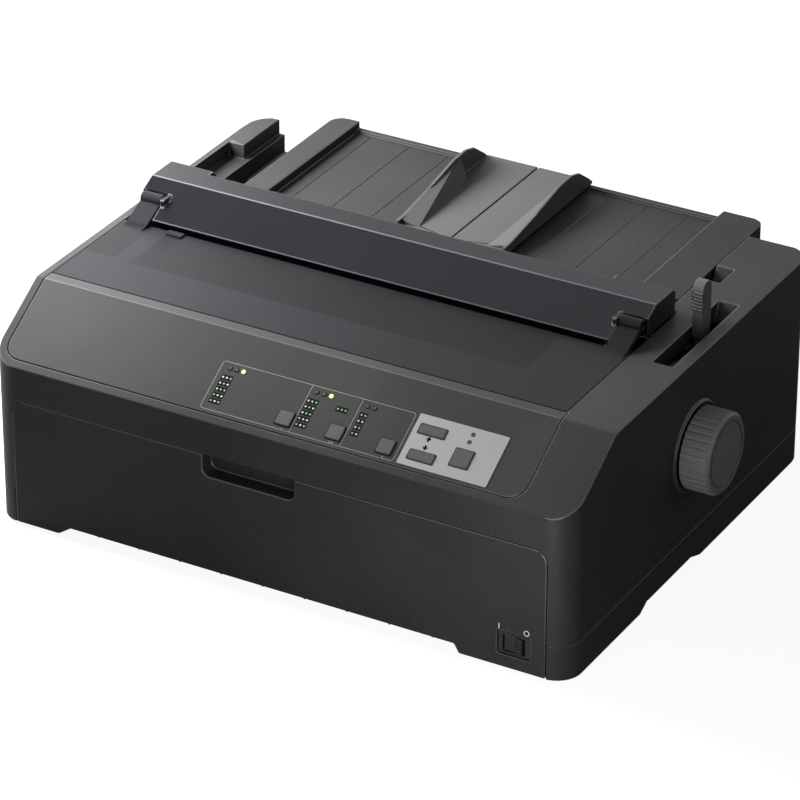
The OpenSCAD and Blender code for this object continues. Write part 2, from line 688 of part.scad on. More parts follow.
module hood() at_origin() color(smoke) {
    mid_left = lid_left_x + 33;
    mid_right = lid_right_x - 40;
    pin_x = [lid_left_x, lid_right_x - 3];
    difference() {
        union() {
            difference() {
                along_x(lid_left_x, lid_right_x) hood_view(hood_back_y, 0);
                for (e = [[lid_left_x + 3, mid_left - smoke_t], [mid_right + smoke_t, lid_right_x - 3]])
                    along_x(e[0], e[1]) hood_view(hood_back_y, smoke_t);
                along_x(mid_left, mid_right) hood_view(hood_back_y - 8.5, smoke_t);
                box([mid_left, hood_back_y - 8.5, top_z - 1], [mid_right, hood_back_y + 1, top_z + 30]);
            }
            // Ears on the hinge pins at the back
            for (x = pin_x) {
                bar_x(x, x + 3, hood_pin_c, 3.4);
                box([x, hood_pin_c.x - 3.4, hood_pin_c.y], [x + 3, hood_pin_c.x + 2, top_z + 1.2]);
            }
            // Cheeks that hold the lid's hinge pins
            box([barrel_left_x + barrel_w + 0.4, lid_pin_c.x - 5, top_z + 3],
                [barrel_left_x + barrel_w + 3.4, hood_ridge_y, lid_pin_c.y + 3.4]);
            box([barrel_right_x - 3.4, lid_pin_c.x - 5, top_z + 3],
                [barrel_right_x - 0.4, hood_ridge_y, lid_pin_c.y + 3.4]);
        }
        // Notches round the lid's barrels
        box([lid_left_x - 1, hood_front_y - 1, top_z - 1],
            [barrel_left_x + barrel_w + 0.4, lid_pin_c.x + barrel_r + 0.6, top_z + 30]);
        box([barrel_right_x - 0.4, hood_front_y - 1, top_z - 1],
            [lid_right_x + 1, lid_pin_c.x + barrel_r + 0.6, top_z + 30]);
        bar_x(barrel_left_x + barrel_w, barrel_left_x + barrel_w + 6, lid_pin_c, lid_pin_r);
        bar_x(barrel_right_x - 6, barrel_right_x, lid_pin_c, lid_pin_r);
        for (x = pin_x)
            bar_x(x - 1, x + 4, hood_pin_c, hood_pin_r + fit);
    }
}

module hood_hinge_pins() at_origin() color(steel) {
    bar_x(lid_left_x - seam - wall, lid_left_x + 3, hood_pin_c, hood_pin_r);
    bar_x(lid_right_x - 3, lid_right_x + seam + wall, hood_pin_c, hood_pin_r);
}

// ---- sheet tray ----------------------------------------------------------

module tray_plan(inset)
    polygon(rounded(rect(tray_left_x + inset, tray_front_y + inset, tray_right_x - inset,
        tray_back_y - inset), [2, 2, 8, 10], 5));

module paper_tray() at_origin() color(shell_grey) {
    inner_left = tray_left_x + rail_left_w;
    inner_right = tray_right_x - rail_right_w;
    mid_x = (inner_left + inner_right) / 2 - 4.7;
    difference() {
        union() {
            difference() {
                translate([0, 0, rail_low_z]) linear_extrude(rail_z - rail_low_z) tray_plan(0);
                box([inner_left, tray_front_y - 1, tray_z], [inner_right, tray_back_y - lip_w, rail_z + 1]);
                box([inner_left, tray_front_y - 1, tray_z + lip_h], [inner_right, tray_back_y + 1, rail_z + 1]);
                intersection() {
                    translate([0, 0, rail_low_z - 1]) linear_extrude(rail_z) tray_plan(tray_t);
                    union() {
                        box([-half_w, 0, rail_low_z - 1], [half_w, body_d + 90, tray_z - tray_t]);
                        box([-half_w, 0, rail_low_z - 1], [inner_left - tray_t, body_d + 90, rail_z - tray_t]);
                        box([inner_right + tray_t, 0, rail_low_z - 1], [half_w, body_d + 90, rail_z - tray_t]);
                    }
                }
            }
            for (x = [inner_left, inner_right - 4])
                box([x, pivot_c.x - 5, pivot_c.y - 3.4], [x + 4, pivot_c.x + 5, tray_z - 1]);
        }
        // The front edge stays shallow, so that it passes over the opened flaps
        box([inner_left, tray_front_y - 1, rail_low_z - 1],
            [inner_right + tray_t + 1, tray_front_y + tray_t + 3, tray_z - front_edge_h]);
        for (k = [2:4], m = [-1, 1])
            box([mid_x + m * k * groove_pitch - 0.4, tray_front_y + 4, tray_z - 0.6],
                [mid_x + m * k * groove_pitch + 0.4, tray_back_y - 6.6, tray_z + 1]);
        bar_x(tray_left_x - 1, tray_right_x + 1, pivot_c, pivot_r + fit);
    }
}

module tray_pivot_rod() at_origin() color(steel)
    bar_x(recess_left - wall, recess_right + wall, pivot_c, pivot_r);

// An edge guide: its fence stands at x = 0 and its plate reaches to x = plate_w
guide_plate_w = 40;
guide_view = [[-122, 0], [-122, 0.22], [-93, 0.28], [-75, 0.62], [-46, 0.97], [-30, 1], [-18.5, 0.81],
    [-3.5, 0.15], [0, -0.12], [-4, -0.14], [-6, 0]];
module edge_guide() {
    top = guide_low_z + guide_t;
    box([0, guide_back_y - 122, guide_low_z], [guide_plate_w, guide_back_y, top]);
    along_x(0, 2.2) polygon([for (p = guide_view) [guide_back_y + p.x, top + p.y * fence_h]]);
    // Sloped wing from the fence down to the plate
    hull() {
        translate([0, guide_back_y - 118, top - join]) cube([15, 0.1, join]);
        translate([0, guide_back_y - 118, top - join]) cube([1.5, 0.1, join + 0.2 * fence_h]);
        translate([0, guide_back_y - 38, top - join]) cube([7, 0.1, join]);
        translate([0, guide_back_y - 38, top - join]) cube([1.5, 0.1, join + 0.92 * fence_h]);
    }
    // Runner at the front
    box([2, guide_back_y - 120, tray_z + rest], [guide_plate_w - 2, guide_back_y - 112, guide_low_z + join]);
}

module edge_guide_left() at_origin() color(guide_grey)
    translate([guide_left_x, 0, 0]) edge_guide();
module edge_guide_right() at_origin() color(guide_grey)
    translate([guide_right_x, 0, 0]) mirror([1, 0, 0]) edge_guide();

// ---- levers --------------------------------------------------------------

module release_lever() at_origin() color(guide_grey) difference() {
    top = top_z + 31.5;
    union() {
        bar_x(lever_x, lever_x + lever_w, lever_c, 8);
        along_x(lever_x + 1.2, lever_x + lever_w - 1.2)
            polygon([[lever_c.x - 5, lever_c.y], [lever_c.x + 5, lever_c.y], [lever_c.x + 5, top_z],
                [lever_c.x - 4, top_z]]);
        along_x(lever_x, lever_x + lever_w)
            polygon(rounded([[lever_c.x - 5.5, top_z - 8], [lever_c.x + 6.5, top_z - 8],
                [lever_c.x + 6.5, top], [lever_c.x - 5.5, top]], [2, 2, 5.6, 5.6], 8));
        for (i = [0:5])
            bar_x(lever_x, lever_x + lever_w, [lever_c.x - 5.4, top_z + 13 + 2.3 * i], 0.7, 16);
    }
    bar_x(lever_x - 1, lever_x + lever_w + 1, lever_c, lever_pin_r + fit);
}

// Sets the gap between print head and platen
thick_x = frame_r - 5;
module thickness_lever() at_origin() color([0.2, 0.35, 0.6]) difference() {
    union() {
        bar_x(thick_x, thick_x + 4.6, thick_c, 6);
        along_x(thick_x + 0.8, thick_x + 3.8)
            polygon([[thick_c.x - 3, thick_c.y], [thick_c.x + 3, thick_c.y], [thick_c.x + 3, top_z - 24],
                [thick_c.x - 3, top_z - 24]]);
        bar_x(thick_x, thick_x + 4.6, [thick_c.x, top_z - 24], 4);
    }
    bar_x(thick_x - 1, thick_x + 6, thick_c, stub_r + fit);
}

// ---- chassis -------------------------------------------------------------

frame_outline = [[60, frame_low_z], [60, 96], [70, 105], [140, 105], [150, 119], [190, 119], [200, 112],
    [292, 112], [292, 84], [262, 80], [254, 64], [254, frame_low_z]];
journal_r = 3;
bail_shaft_r = 2;
motor_r = 15;

module side_frame(x) difference() {
    along_x(x, x + frame_t) polygon(frame_outline);
    for (b = [[platen_c, shaft_r + fit], [tractor_c, journal_r + fit], [bail_c, bail_shaft_r + fit],
        [rod_c, rod_r], [tractor_rod_c, 3]])
        bar_x(x - 1, x + frame_t + 1, b[0], b[1]);
    for (y = [80, 222])
        along_x(x - 1, x + frame_t + 1) polygon(round_rect(y, 42, y + 22, 72, 4));
}

// Shelves on which the ribbon cartridge lies, beside the lever
shelf_z = 105;
shelf_front = 74;
shelf_back = 138;
lever_gap = 10;
module shelf(x0, x1)
    for (y = [[shelf_front, thick_c.x - lever_gap], [thick_c.x + lever_gap, shelf_back]])
        box([x0, y[0], shelf_z - frame_t], [x1, y[1], shelf_z]);

module side_frame_left() at_origin() color(steel) {
    side_frame(frame_l - frame_t);
    shelf(frame_l - join, frame_l + 9);
}

module side_frame_right() at_origin() color(steel) {
    difference() {
        side_frame(frame_r);
        bar_x(frame_r - 1, frame_r + frame_t + 1, pinion_c, 4);
    }
    shelf(frame_r - 14, frame_r + join);
    // Studs of the idlers and the levers
    bar_x(frame_r + join, gear_x + gear_w + 1, idler_c, stub_r);
    bar_x(frame_r + join, gear_x + gear_w + 1, mid_c, stub_r);
    bar_x(frame_r + join, lever_x + lever_w + 1, lever_c, lever_pin_r);
    bar_x(frame_r + join, lever_x - 0.5, lever_c, lever_pin_r + 2);
    bar_x(thick_x - 0.6, frame_r + join, thick_c, stub_r);
}

cross_front = 62;
cross_back = supply_front - 10;
cross_rim = 14;

module cross_frame() at_origin() color(steel) difference() {
    union() {
        box([frame_l, cross_front, frame_low_z], [frame_r, cross_back, frame_low_z + frame_t]);
        for (y = [cross_front, cross_back - frame_t])
            box([frame_l, y, frame_low_z], [frame_r, y + frame_t, frame_low_z + cross_rim]);
    }
    box([frame_r - 52, pinion_c.x - motor_r - 3, frame_low_z - 1],
        [frame_r + 1, pinion_c.x + motor_r + 3, frame_low_z + 3]);
}

// ---- paper drive ---------------------------------------------------------

platen_left_x = -150;
platen_right_x = 122;
knob_x = half_w + 2.5;
knob_face_x = half_w + knob_out;

module platen() at_origin() color(soot) difference() {
    bar_x(platen_left_x, platen_right_x, platen_c, platen_r, 96);
    bar_x(platen_left_x - 1, platen_right_x + 1, platen_c, shaft_r);
}

module platen_shaft() at_origin() color(steel) {
    bar_x(frame_l - frame_t - 4, knob_face_x - 4, platen_c, shaft_r);
    bar_x(frame_l + 1, frame_l + 5, platen_c, shaft_r + 2);
    bar_x(frame_r - 5, frame_r - 1, platen_c, shaft_r + 2);
}

module platen_gear() at_origin() color(ivory) {
    gear(teeth_platen, platen_c, 0, shaft_r);
    difference() {
        bar_x(gear_x + gear_w - join, gear_x + gear_w + 4, platen_c, shaft_r + 4);
        bar_x(gear_x, gear_x + gear_w + 5, platen_c, shaft_r);
    }
}

module platen_knob() at_origin() color([0.27, 0.27, 0.27]) difference() {
    union() {
        bar_x(knob_x, knob_face_x - 2, platen_c, knob_r, 96);
        translate([knob_face_x - 2.01, platen_c.x, platen_c.y]) rotate([0, 90, 0])
            cylinder(h = 2.01, r1 = knob_r, r2 = knob_r - 2, $fn = 96);
    }
    bar_x(knob_x - 1, knob_face_x - 4, platen_c, shaft_r);
    for (a = [0:10:350])
        bar_x(knob_x - 1, knob_face_x + 1, platen_c + (knob_r + 0.9) * [cos(a), sin(a)], 1.5, 16);
    difference() {
        bar_x(knob_face_x - 0.8, knob_face_x + 1, platen_c, knob_r - 5, 64);
        bar_x(knob_face_x - 2, knob_face_x + 2, platen_c, knob_r - 6.5, 64);
    }
}

module feed_idler() at_origin() color(ivory) gear(teeth_idler, idler_c, idler_phase, stub_r + fit);
module tractor_idler() at_origin() color(ivory) gear(teeth_tractor, mid_c, mid_phase, stub_r + fit);

feed_shaft_r = 2.5;
module feed_pinion() at_origin() color(steel) {
    along_x(gear_x, gear_x + gear_w)
        translate(pinion_c) rotate(pinion_phase) polygon(gear_outline(teeth_pinion));
    bar_x(frame_r - 12, gear_x + 1, pinion_c, feed_shaft_r);
}

module feed_motor() at_origin() color([0.25, 0.25, 0.27]) difference() {
    union() {
        bar_x(frame_r - 38, frame_r, pinion_c, motor_r);
        along_x(frame_r - 2, frame_r)
            polygon(round_rect(pinion_c.x - motor_r - 1, pinion_c.y - 8, pinion_c.x + motor_r + 1,
                pinion_c.y + 8, 3));
    }
    bar_x(frame_r - 14, frame_r + 1, pinion_c, feed_shaft_r + fit);
}

// ---- tractor -------------------------------------------------------------

square_w = 6;
tractor_w = 15;
sprocket_r = 8;
hub_r = 5.5;
tractor_top = tractor_c.y + 9;
tractor_left_x = -132;
tractor_right_x = 104;
flap_c = [tractor_w / 2 + 3, tractor_top + 3];

module tractor_shaft() at_origin() color(steel) {
    box([frame_l + 1, tractor_c.x - square_w / 2, tractor_c.y - square_w / 2],
        [frame_r - 1, tractor_c.x + square_w / 2, tractor_c.y + square_w / 2]);
    bar_x(frame_l - frame_t - 3, gear_x + gear_w, tractor_c, journal_r);
    along_x(gear_x, gear_x + gear_w)
        translate(tractor_c) rotate(tractor_phase) polygon(gear_outline(teeth_tractor));
}

module tractor_rod() at_origin() color(steel)
    bar_x(frame_l - frame_t, frame_r + frame_t, tractor_rod_c, 3);

module tractor(x, side) at_origin() color(guide_grey)
    translate([x, 0, 0]) mirror([side < 0 ? 1 : 0, 0, 0]) {
        difference() {
            union() {
                along_x(-tractor_w / 2, tractor_w / 2)
                    polygon(rounded(rect(tractor_c.x - 16, tractor_c.y - 11, tractor_rod_c.x + 9,
                        tractor_top), [6, 4, 3, 6], 5));
                box([tractor_w / 2 - join, tractor_c.x - 10, tractor_top - 4],
                    [flap_c.x, tractor_rod_c.x + 2, tractor_top - 1.3]);
                for (y = [tractor_c.x - 10, tractor_rod_c.x - 2])
                    box([flap_c.x - 2.4, y, tractor_top - 4], [flap_c.x + 2.4, y + 4, tractor_top + 5]);
            }
            bar_x(-tractor_w, tractor_w, tractor_c, hub_r + fit);
            bar_x(-tractor_w, tractor_w, tractor_rod_c, 3 + fit);
            bar_x(-3.2, 3.2, tractor_c, 12);
            translate([flap_c.x, tractor_c.x - 12, flap_c.y]) rotate([-90, 0, 0])
                cylinder(h = 60, r = 1.2);
        }
    }
module tractor_left() tractor(tractor_left_x, -1);
module tractor_right() tractor(tractor_right_x, 1);

// The flap that holds the paper's edge down, with a slot for the pins
module tractor_flap(x, side) at_origin() color(guide_grey)
    translate([x, 0, 0]) mirror([side < 0 ? 1 : 0, 0, 0]) {
        difference() {
            union() {
                box([-tractor_w / 2, tractor_c.x - 14, tractor_top + 1],
                    [flap_c.x - 3.6, tractor_rod_c.x + 6, tractor_top + 3]);
                box([flap_c.x - 4, tractor_c.x - 5.6, tractor_top + 1],
                    [flap_c.x, tractor_rod_c.x - 2.4, tractor_top + 3]);
                translate([flap_c.x, tractor_c.x - 5.6, flap_c.y]) rotate([-90, 0, 0])
                    cylinder(h = tractor_rod_c.x - tractor_c.x + 3.2, r = 2.2);
            }
            box([-3.2, tractor_c.x - 12, tractor_top - 1], [3.2, tractor_c.x + 12, tractor_top + 4]);
        }
        translate([flap_c.x, tractor_c.x - 9.6, flap_c.y]) rotate([-90, 0, 0])
            cylinder(h = tractor_rod_c.x - tractor_c.x + 11.2, r = 1.15);
    }
module tractor_flap_left() tractor_flap(tractor_left_x, -1);
module tractor_flap_right() tractor_flap(tractor_right_x, 1);

module sprocket(x) at_origin() color(ivory) difference() {
    union() {
        bar_x(x - tractor_w / 2 + 0.5, x + tractor_w / 2 - 0.5, tractor_c, hub_r);
        bar_x(x - 2.6, x + 2.6, tractor_c, sprocket_r);
        for (a = [0:45:315])
            translate([x, tractor_c.x, tractor_c.y]) rotate([a, 0, 0]) translate([0, 0, sprocket_r - 2])
                cylinder(h = 4.6, r = 1.3, $fn = 24);
    }
    box([x - tractor_w, tractor_c.x - square_w / 2 - 0.15, tractor_c.y - square_w / 2 - 0.15],
        [x + tractor_w, tractor_c.x + square_w / 2 + 0.15, tractor_c.y + square_w / 2 + 0.15]);
}
module sprocket_left() sprocket(tractor_left_x);
module sprocket_right() sprocket(tractor_right_x);

module bail_rollers() at_origin() color(soot) {
    bar_x(frame_l - frame_t - 2, frame_r + frame_t + 2, bail_c, bail_shaft_r);
    for (i = [0:4])
        bar_x(-128 + 53 * i, -112 + 53 * i, bail_c, bail_r);
}

// ---- carriage ------------------------------------------------------------

pulley_y = 92;
drive_x = frame_l + 14;
tension_x = frame_r - 16;
belt_r = pulley_r + fit;
belt_t = 1.4;
belt_low_z = 53.4;
belt_h = 5;
run_y = pulley_y + belt_r;
pulley_shaft_r = 2;

module guide_rod() at_origin() color(steel)
    bar_x(frame_l - frame_t, frame_r + frame_t, rod_c, rod_r);

module carriage() at_origin() color(soot) difference() {
    x0 = carriage_x - carriage_w / 2;
    x1 = carriage_x + carriage_w / 2;
    union() {
        box([x0, rod_c.x - 12, rod_c.y - 10], [x1, rod_c.x + 14, rod_c.y + 12]);
        box([x0 + 8, 74, belt_low_z + belt_h + 2.2], [x1 - 8, rod_c.x, rod_c.y + 6]);
        box([carriage_x - 9, run_y - 3, belt_low_z - 2.4], [carriage_x + 9, run_y + 5, rod_c.y]);
        for (x = [carriage_x - 18, carriage_x + 13])
            box([x, rod_c.x - 12, rod_c.y + 10], [x + 5, rod_c.x + 10, rod_c.y + 22]);
    }
    bar_x(x0 - 1, x1 + 1, rod_c, rod_r + fit);
    box([x0 - 1, run_y - clear, belt_low_z - clear], [x1 + 1, run_y + belt_t + clear, belt_low_z + belt_h + clear]);
}

// The head, with its cooling fins and its nose close to the platen
module print_head() at_origin() color([0.3, 0.3, 0.31]) {
    low = rod_c.y + 12;
    nose_y = platen_c.x - platen_r - 0.6;
    box([carriage_x - 12.5, rod_c.x - 8, low], [carriage_x + 12.5, rod_c.x + 14, low + 26]);
    for (i = [0:4])
        box([carriage_x - 12.5, rod_c.x - 16, low + 6 + 4.4 * i], [carriage_x + 12.5, rod_c.x - 7, low + 7.6 + 4.4 * i]);
    along_x(carriage_x - 5, carriage_x + 5)
        polygon([[rod_c.x + 13, platen_c.y - 7], [nose_y, platen_c.y - 3], [nose_y, platen_c.y + 3],
            [rod_c.x + 13, platen_c.y + 7]]);
}

module racetrack(r) union() {
    for (x = [drive_x, tension_x]) translate([x, pulley_y]) circle(r = r);
    translate([drive_x, pulley_y - r]) square([tension_x - drive_x, 2 * r]);
}

module drive_belt() at_origin() color(soot)
    translate([0, 0, belt_low_z]) linear_extrude(belt_h) difference() {
        racetrack(belt_r + belt_t);
        racetrack(belt_r);
    }

module pulley(x) {
    bar_z(belt_low_z - 0.4, belt_low_z + belt_h + 0.4, x, pulley_y, pulley_r);
    for (z = [belt_low_z - 1.6, belt_low_z + belt_h + 0.2])
        bar_z(z, z + 1.4, x, pulley_y, pulley_r + 2);
}

module drive_pulley() at_origin() color(ivory) {
    pulley(drive_x);
    bar_z(frame_low_z + 6, belt_low_z, drive_x, pulley_y, pulley_shaft_r);
}

module tension_pulley() at_origin() color(ivory) difference() {
    pulley(tension_x);
    bar_z(belt_low_z - 5, belt_low_z + belt_h + 5, tension_x, pulley_y, pulley_shaft_r + fit);
}

module tension_stud() {
    bar_z(frame_low_z + 1, belt_low_z + belt_h + 3, tension_x, pulley_y, pulley_shaft_r);
    bar_z(frame_low_z + 1, belt_low_z - 1.8, tension_x, pulley_y, 5);
}

module carriage_motor() at_origin() color([0.25, 0.25, 0.27]) difference() {
    bar_z(frame_low_z + 2, belt_low_z - 4, drive_x, pulley_y, 13);
    bar_z(frame_low_z + 4, belt_low_z, drive_x, pulley_y, pulley_shaft_r + fit);
}

// ---- ribbon cartridge ----------------------------------------------------

ribbon_low = shelf_z + rest;
ribbon_h = 16;
ribbon_front = 74;
ribbon_back = 144;
ribbon_arm = 11;
ribbon_left = frame_l + 1.2;
ribbon_right = thick_x - 1.6;
ribbon_knob_x = -150;
ribbon_knob_y = 106;

module ribbon_cartridge() at_origin() color(soot) difference() {
    union() {
        translate([0, 0, ribbon_low]) linear_extrude(ribbon_h) polygon(rounded([
            [ribbon_left, ribbon_front], [ribbon_right, ribbon_front],
            [ribbon_right, ribbon_back], [ribbon_right - ribbon_arm, ribbon_back],
            [ribbon_right - ribbon_arm - 4, ribbon_back - 16],
            [ribbon_left + ribbon_arm + 4, ribbon_back - 16],
            [ribbon_left + ribbon_arm, ribbon_back], [ribbon_left, ribbon_back]],
            [6, 6, 4, 3, 3, 3, 3, 4]));
        for (i = [0:9])
            box([-60 + 12 * i, ribbon_front + 6, ribbon_low + ribbon_h - join],
                [-58 + 12 * i, ribbon_back - 22, ribbon_low + ribbon_h + 0.8]);
    }
    bar_z(ribbon_low + 4, ribbon_low + ribbon_h + 2, ribbon_knob_x, ribbon_knob_y, 3 + fit);
}

module ribbon_knob() at_origin() color([0.2, 0.35, 0.6]) {
    top = ribbon_low + ribbon_h;
    bar_z(ribbon_low + 4.3, top + 1, ribbon_knob_x, ribbon_knob_y, 3);
    bar_z(top + 0.3, top + 7, ribbon_knob_x, ribbon_knob_y, 9);
    translate([ribbon_knob_x, ribbon_knob_y, top + 7 - join])
        linear_extrude(4) square([3, 15], center = true);
}

// ---- electronics ---------------------------------------------------------

chip_w = 24;
chip_d = 12;
chip_h = 4;
chip_pitch = 40;
chip_rows = 44;
can_h = 11;
can_pitch = 22;
plug_h = 9;
plug_w = 54;
plug_d = 26;
can_r = 7;

module main_board() at_origin() color(green) {
    top = board_z + board_t;
    box([board_left, board_front, board_z], [board_right, board_back, top]);
    for (i = [0:4], j = [0:1])
        translate([board_left + 14 + chip_pitch * i, board_front + 16 + chip_rows * j, top - join])
            cube([chip_w, chip_d, chip_h + join]);
    for (i = [0:2])
        bar_z(top - join, top + can_h, board_right - 36 - can_pitch * i, board_back - 26, can_r);
    translate([board_left + 20, board_back - plug_d - 12, top - join])
        cube([plug_w, plug_d, plug_h + join]);
}

core_w = 46;
core_h = 38;
cell_h = 30;
cell_r = 8;
supply_edge = 12;

module power_supply() at_origin() color(steel) {
    box([supply_left, supply_front, supply_z], [supply_right, supply_back, supply_z + frame_t]);
    box([supply_left, supply_front, supply_z],
        [supply_left + frame_t, supply_back, supply_z + core_h - 4]);
    box([supply_left, supply_front, supply_z],
        [supply_right, supply_front + frame_t, supply_z + core_h - 12]);
    // Transformer and capacitors
    box([supply_right - supply_edge - core_w, supply_front + 6, supply_z + frame_t - join],
        [supply_right - supply_edge, supply_back - 2, supply_z + core_h]);
    for (i = [0:2])
        bar_z(supply_z + frame_t - join, supply_z + cell_h, supply_left + 14 + (2 * cell_r + 2) * i,
            (supply_front + supply_back) / 2 + 1, cell_r);
}

port_d = 14;
port_face = body_d - 0.4;
port_side = 6;
port_rim = 3.2;
inlet_floor = body_d - 16;
blade_len = 12;

module rear_ports() at_origin() color([0.2, 0.2, 0.22]) {
    difference() {
        box([port_x, body_d - wall - port_d, port_z], [port_x + port_w, port_face, port_z + port_h]);
        box([port_x + port_side, body_d - 6, port_z + port_rim],
            [port_x + port_w - port_side, body_d + 1, port_z + port_h - port_rim]);
    }
    difference() {
        box([inlet_x, inlet_floor - 4, inlet_z], [inlet_x + inlet_w, port_face, inlet_z + inlet_h]);
        box([inlet_x + port_rim, inlet_floor, inlet_z + port_rim],
            [inlet_x + inlet_w - port_rim, body_d + 1, inlet_z + inlet_h - port_rim]);
    }
    // The inlet's three blades
    for (i = [-1:1])
        translate([inlet_x + inlet_w / 2 + 7 * i - 1, inlet_floor - 1, inlet_z + 9 + 1.6 * (1 - abs(i))])
            cube([2, blade_len + 1, 4]);
}

// ---- pieces --------------------------------------------------------------

base_case();
rubber_feet();
upper_housing();
front_cover();
front_hinge_pins();
control_cover();
label_plate();
panel_board();
lamps_lit();
lamps_dark();
key_one();
key_two();
key_three();
key_upper();
key_lower();
key_right();
printer_lid();
lid_hinge_pins();
hood();
hood_hinge_pins();
paper_tray();
tray_pivot_rod();
edge_guide_left();
edge_guide_right();
release_lever();
thickness_lever();
side_frame_left();
side_frame_right();
cross_frame();
platen();
platen_shaft();
platen_knob();
platen_gear();
feed_idler();
feed_motor();
feed_pinion();
tractor_idler();
tractor_shaft();
tractor_rod();
tractor_left();
tractor_right();
tractor_flap_left();
tractor_flap_right();
sprocket_left();
sprocket_right();
bail_rollers();
guide_rod();
carriage();
print_head();
drive_belt();
drive_pulley();
tension_pulley();
carriage_motor();
ribbon_cartridge();
ribbon_knob();
main_board();
power_supply();
power_switch();
power_rocker();
rear_ports();
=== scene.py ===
# Looks of the dot matrix printer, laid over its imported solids. Lengths are in metres.
import json
import math
import bpy
import bmesh
from mathutils import Matrix, Vector
from mathutils.kdtree import KDTree

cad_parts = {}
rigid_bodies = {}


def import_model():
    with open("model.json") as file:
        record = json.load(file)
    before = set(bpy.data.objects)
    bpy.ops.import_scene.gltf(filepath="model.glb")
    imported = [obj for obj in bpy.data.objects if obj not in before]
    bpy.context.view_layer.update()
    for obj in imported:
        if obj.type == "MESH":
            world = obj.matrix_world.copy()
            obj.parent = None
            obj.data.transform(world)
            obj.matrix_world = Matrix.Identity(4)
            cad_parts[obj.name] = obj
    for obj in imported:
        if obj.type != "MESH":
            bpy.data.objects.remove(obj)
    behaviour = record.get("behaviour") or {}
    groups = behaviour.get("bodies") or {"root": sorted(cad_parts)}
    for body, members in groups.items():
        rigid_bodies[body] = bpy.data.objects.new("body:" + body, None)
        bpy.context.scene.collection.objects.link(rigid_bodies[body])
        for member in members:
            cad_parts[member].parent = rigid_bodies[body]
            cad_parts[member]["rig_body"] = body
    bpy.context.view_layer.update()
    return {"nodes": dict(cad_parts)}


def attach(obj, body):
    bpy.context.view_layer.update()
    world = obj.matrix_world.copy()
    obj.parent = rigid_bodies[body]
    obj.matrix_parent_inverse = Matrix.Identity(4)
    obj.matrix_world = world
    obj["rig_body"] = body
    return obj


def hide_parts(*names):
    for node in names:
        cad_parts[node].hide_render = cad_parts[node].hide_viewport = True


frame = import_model()

# ---- Base case -----------------------------------------------------------------
# The bottom shell is one black moulding with posts, hand grips and front cheeks.
# Its outside has a fine spark-eroded grain, and every edge of the mould is eased.
# Screws through its posts hold the upper housing.


def put(tree, kind, inputs=None, **settings):
    """Adds a node; an input takes a number, a colour or another node's socket."""
    node = tree.nodes.new(kind)
    for name, value in settings.items():
        setattr(node, name, value)
    for name, value in (inputs or {}).items():
        if isinstance(value, bpy.types.NodeSocket):
            tree.links.new(value, node.inputs[name])
        else:
            node.inputs[name].default_value = value
    return node


def calc(tree, operation, *values):
    """One step of arithmetic on numbers and sockets; gives the result's socket."""
    return put(tree, "ShaderNodeMath", dict(enumerate(values)), operation=operation).outputs[0]


def tinted(tree, share, low, high):
    """Blends two colours by a share from 0 to 1; gives the colour's socket.

    In a mix node, inputs 2 and 3 are numbers, 4 and 5 vectors, 6 and 7 colours.
    """
    return put(tree, "ShaderNodeMix", {0: share, 6: low, 7: high}, data_type="RGBA").outputs[2]


def own_place(tree):
    """The socket of a point's place on its own piece."""
    return put(tree, "ShaderNodeTexCoord").outputs["Object"]


def effect(name, wants, gives):
    """A node group with named inputs and outputs, and the sockets of its two end nodes."""
    group = bpy.data.node_groups.new(name, "ShaderNodeTree")
    kinds = {"colour": "NodeSocketColor", "vector": "NodeSocketVector", "number": "NodeSocketFloat"}
    for title, kind, value in wants:
        socket = group.interface.new_socket(title, in_out="INPUT", socket_type=kinds[kind])
        socket.default_value = value
    for title, kind in gives:
        group.interface.new_socket(title, in_out="OUTPUT", socket_type=kinds[kind])
    return group, put(group, "NodeGroupInput").outputs, put(group, "NodeGroupOutput").inputs


def give_out(group, made, colour, rough, relief):
    """Joins a group's results to its outputs."""
    group.links.new(colour, made["Color"])
    group.links.new(rough, made["Roughness"])
    group.links.new(relief.outputs["Normal"], made["Normal"])


def grey(level):
    return (level, level, level, 1.0)


SKIN_OUTPUTS = [("Color", "colour"), ("Roughness", "number"), ("Normal", "vector")]
SPECKLE_SHARE, CLOUD_SHARE = 0.6, 0.4  # how far fine and wide spots tint the plastic
grain, given, made = effect(
    "moulded_grain",
    [("Low colour", "colour", grey(0.03)), ("High colour", "colour", grey(0.05)),
     ("Grain size", "number", 0.0005), ("Grain depth", "number", 0.00003),
     ("Roughness", "number", 0.5), ("Spread", "number", 0.2)],
    SKIN_OUTPUTS,
)
place = own_place(grain)
fineness = calc(grain, "DIVIDE", 1.0, given["Grain size"])
speckle = put(grain, "ShaderNodeTexNoise", {"Vector": place, "Scale": fineness, "Detail": 2.0,
                                            "Roughness": 0.6}).outputs["Fac"]
clouds = put(grain, "ShaderNodeTexNoise", {"Vector": place, "Scale": 11.0,
                                           "Detail": 3.0}).outputs["Fac"]
mixed = calc(grain, "MULTIPLY_ADD", clouds, CLOUD_SHARE,
             calc(grain, "MULTIPLY", speckle, SPECKLE_SHARE))
share = put(grain, "ShaderNodeMapRange",
            {"Value": mixed, "From Min": 0.35, "From Max": 0.65}).outputs[0]
colour = tinted(grain, share, given["Low colour"], given["High colour"])
rough = calc(grain, "MULTIPLY_ADD", calc(grain, "SUBTRACT", speckle, 0.5), given["Spread"],
             given["Roughness"])
relief = put(grain, "ShaderNodeBump",
             {"Strength": 1.0, "Distance": given["Grain depth"], "Height": speckle})
give_out(grain, made, colour, rough, relief)


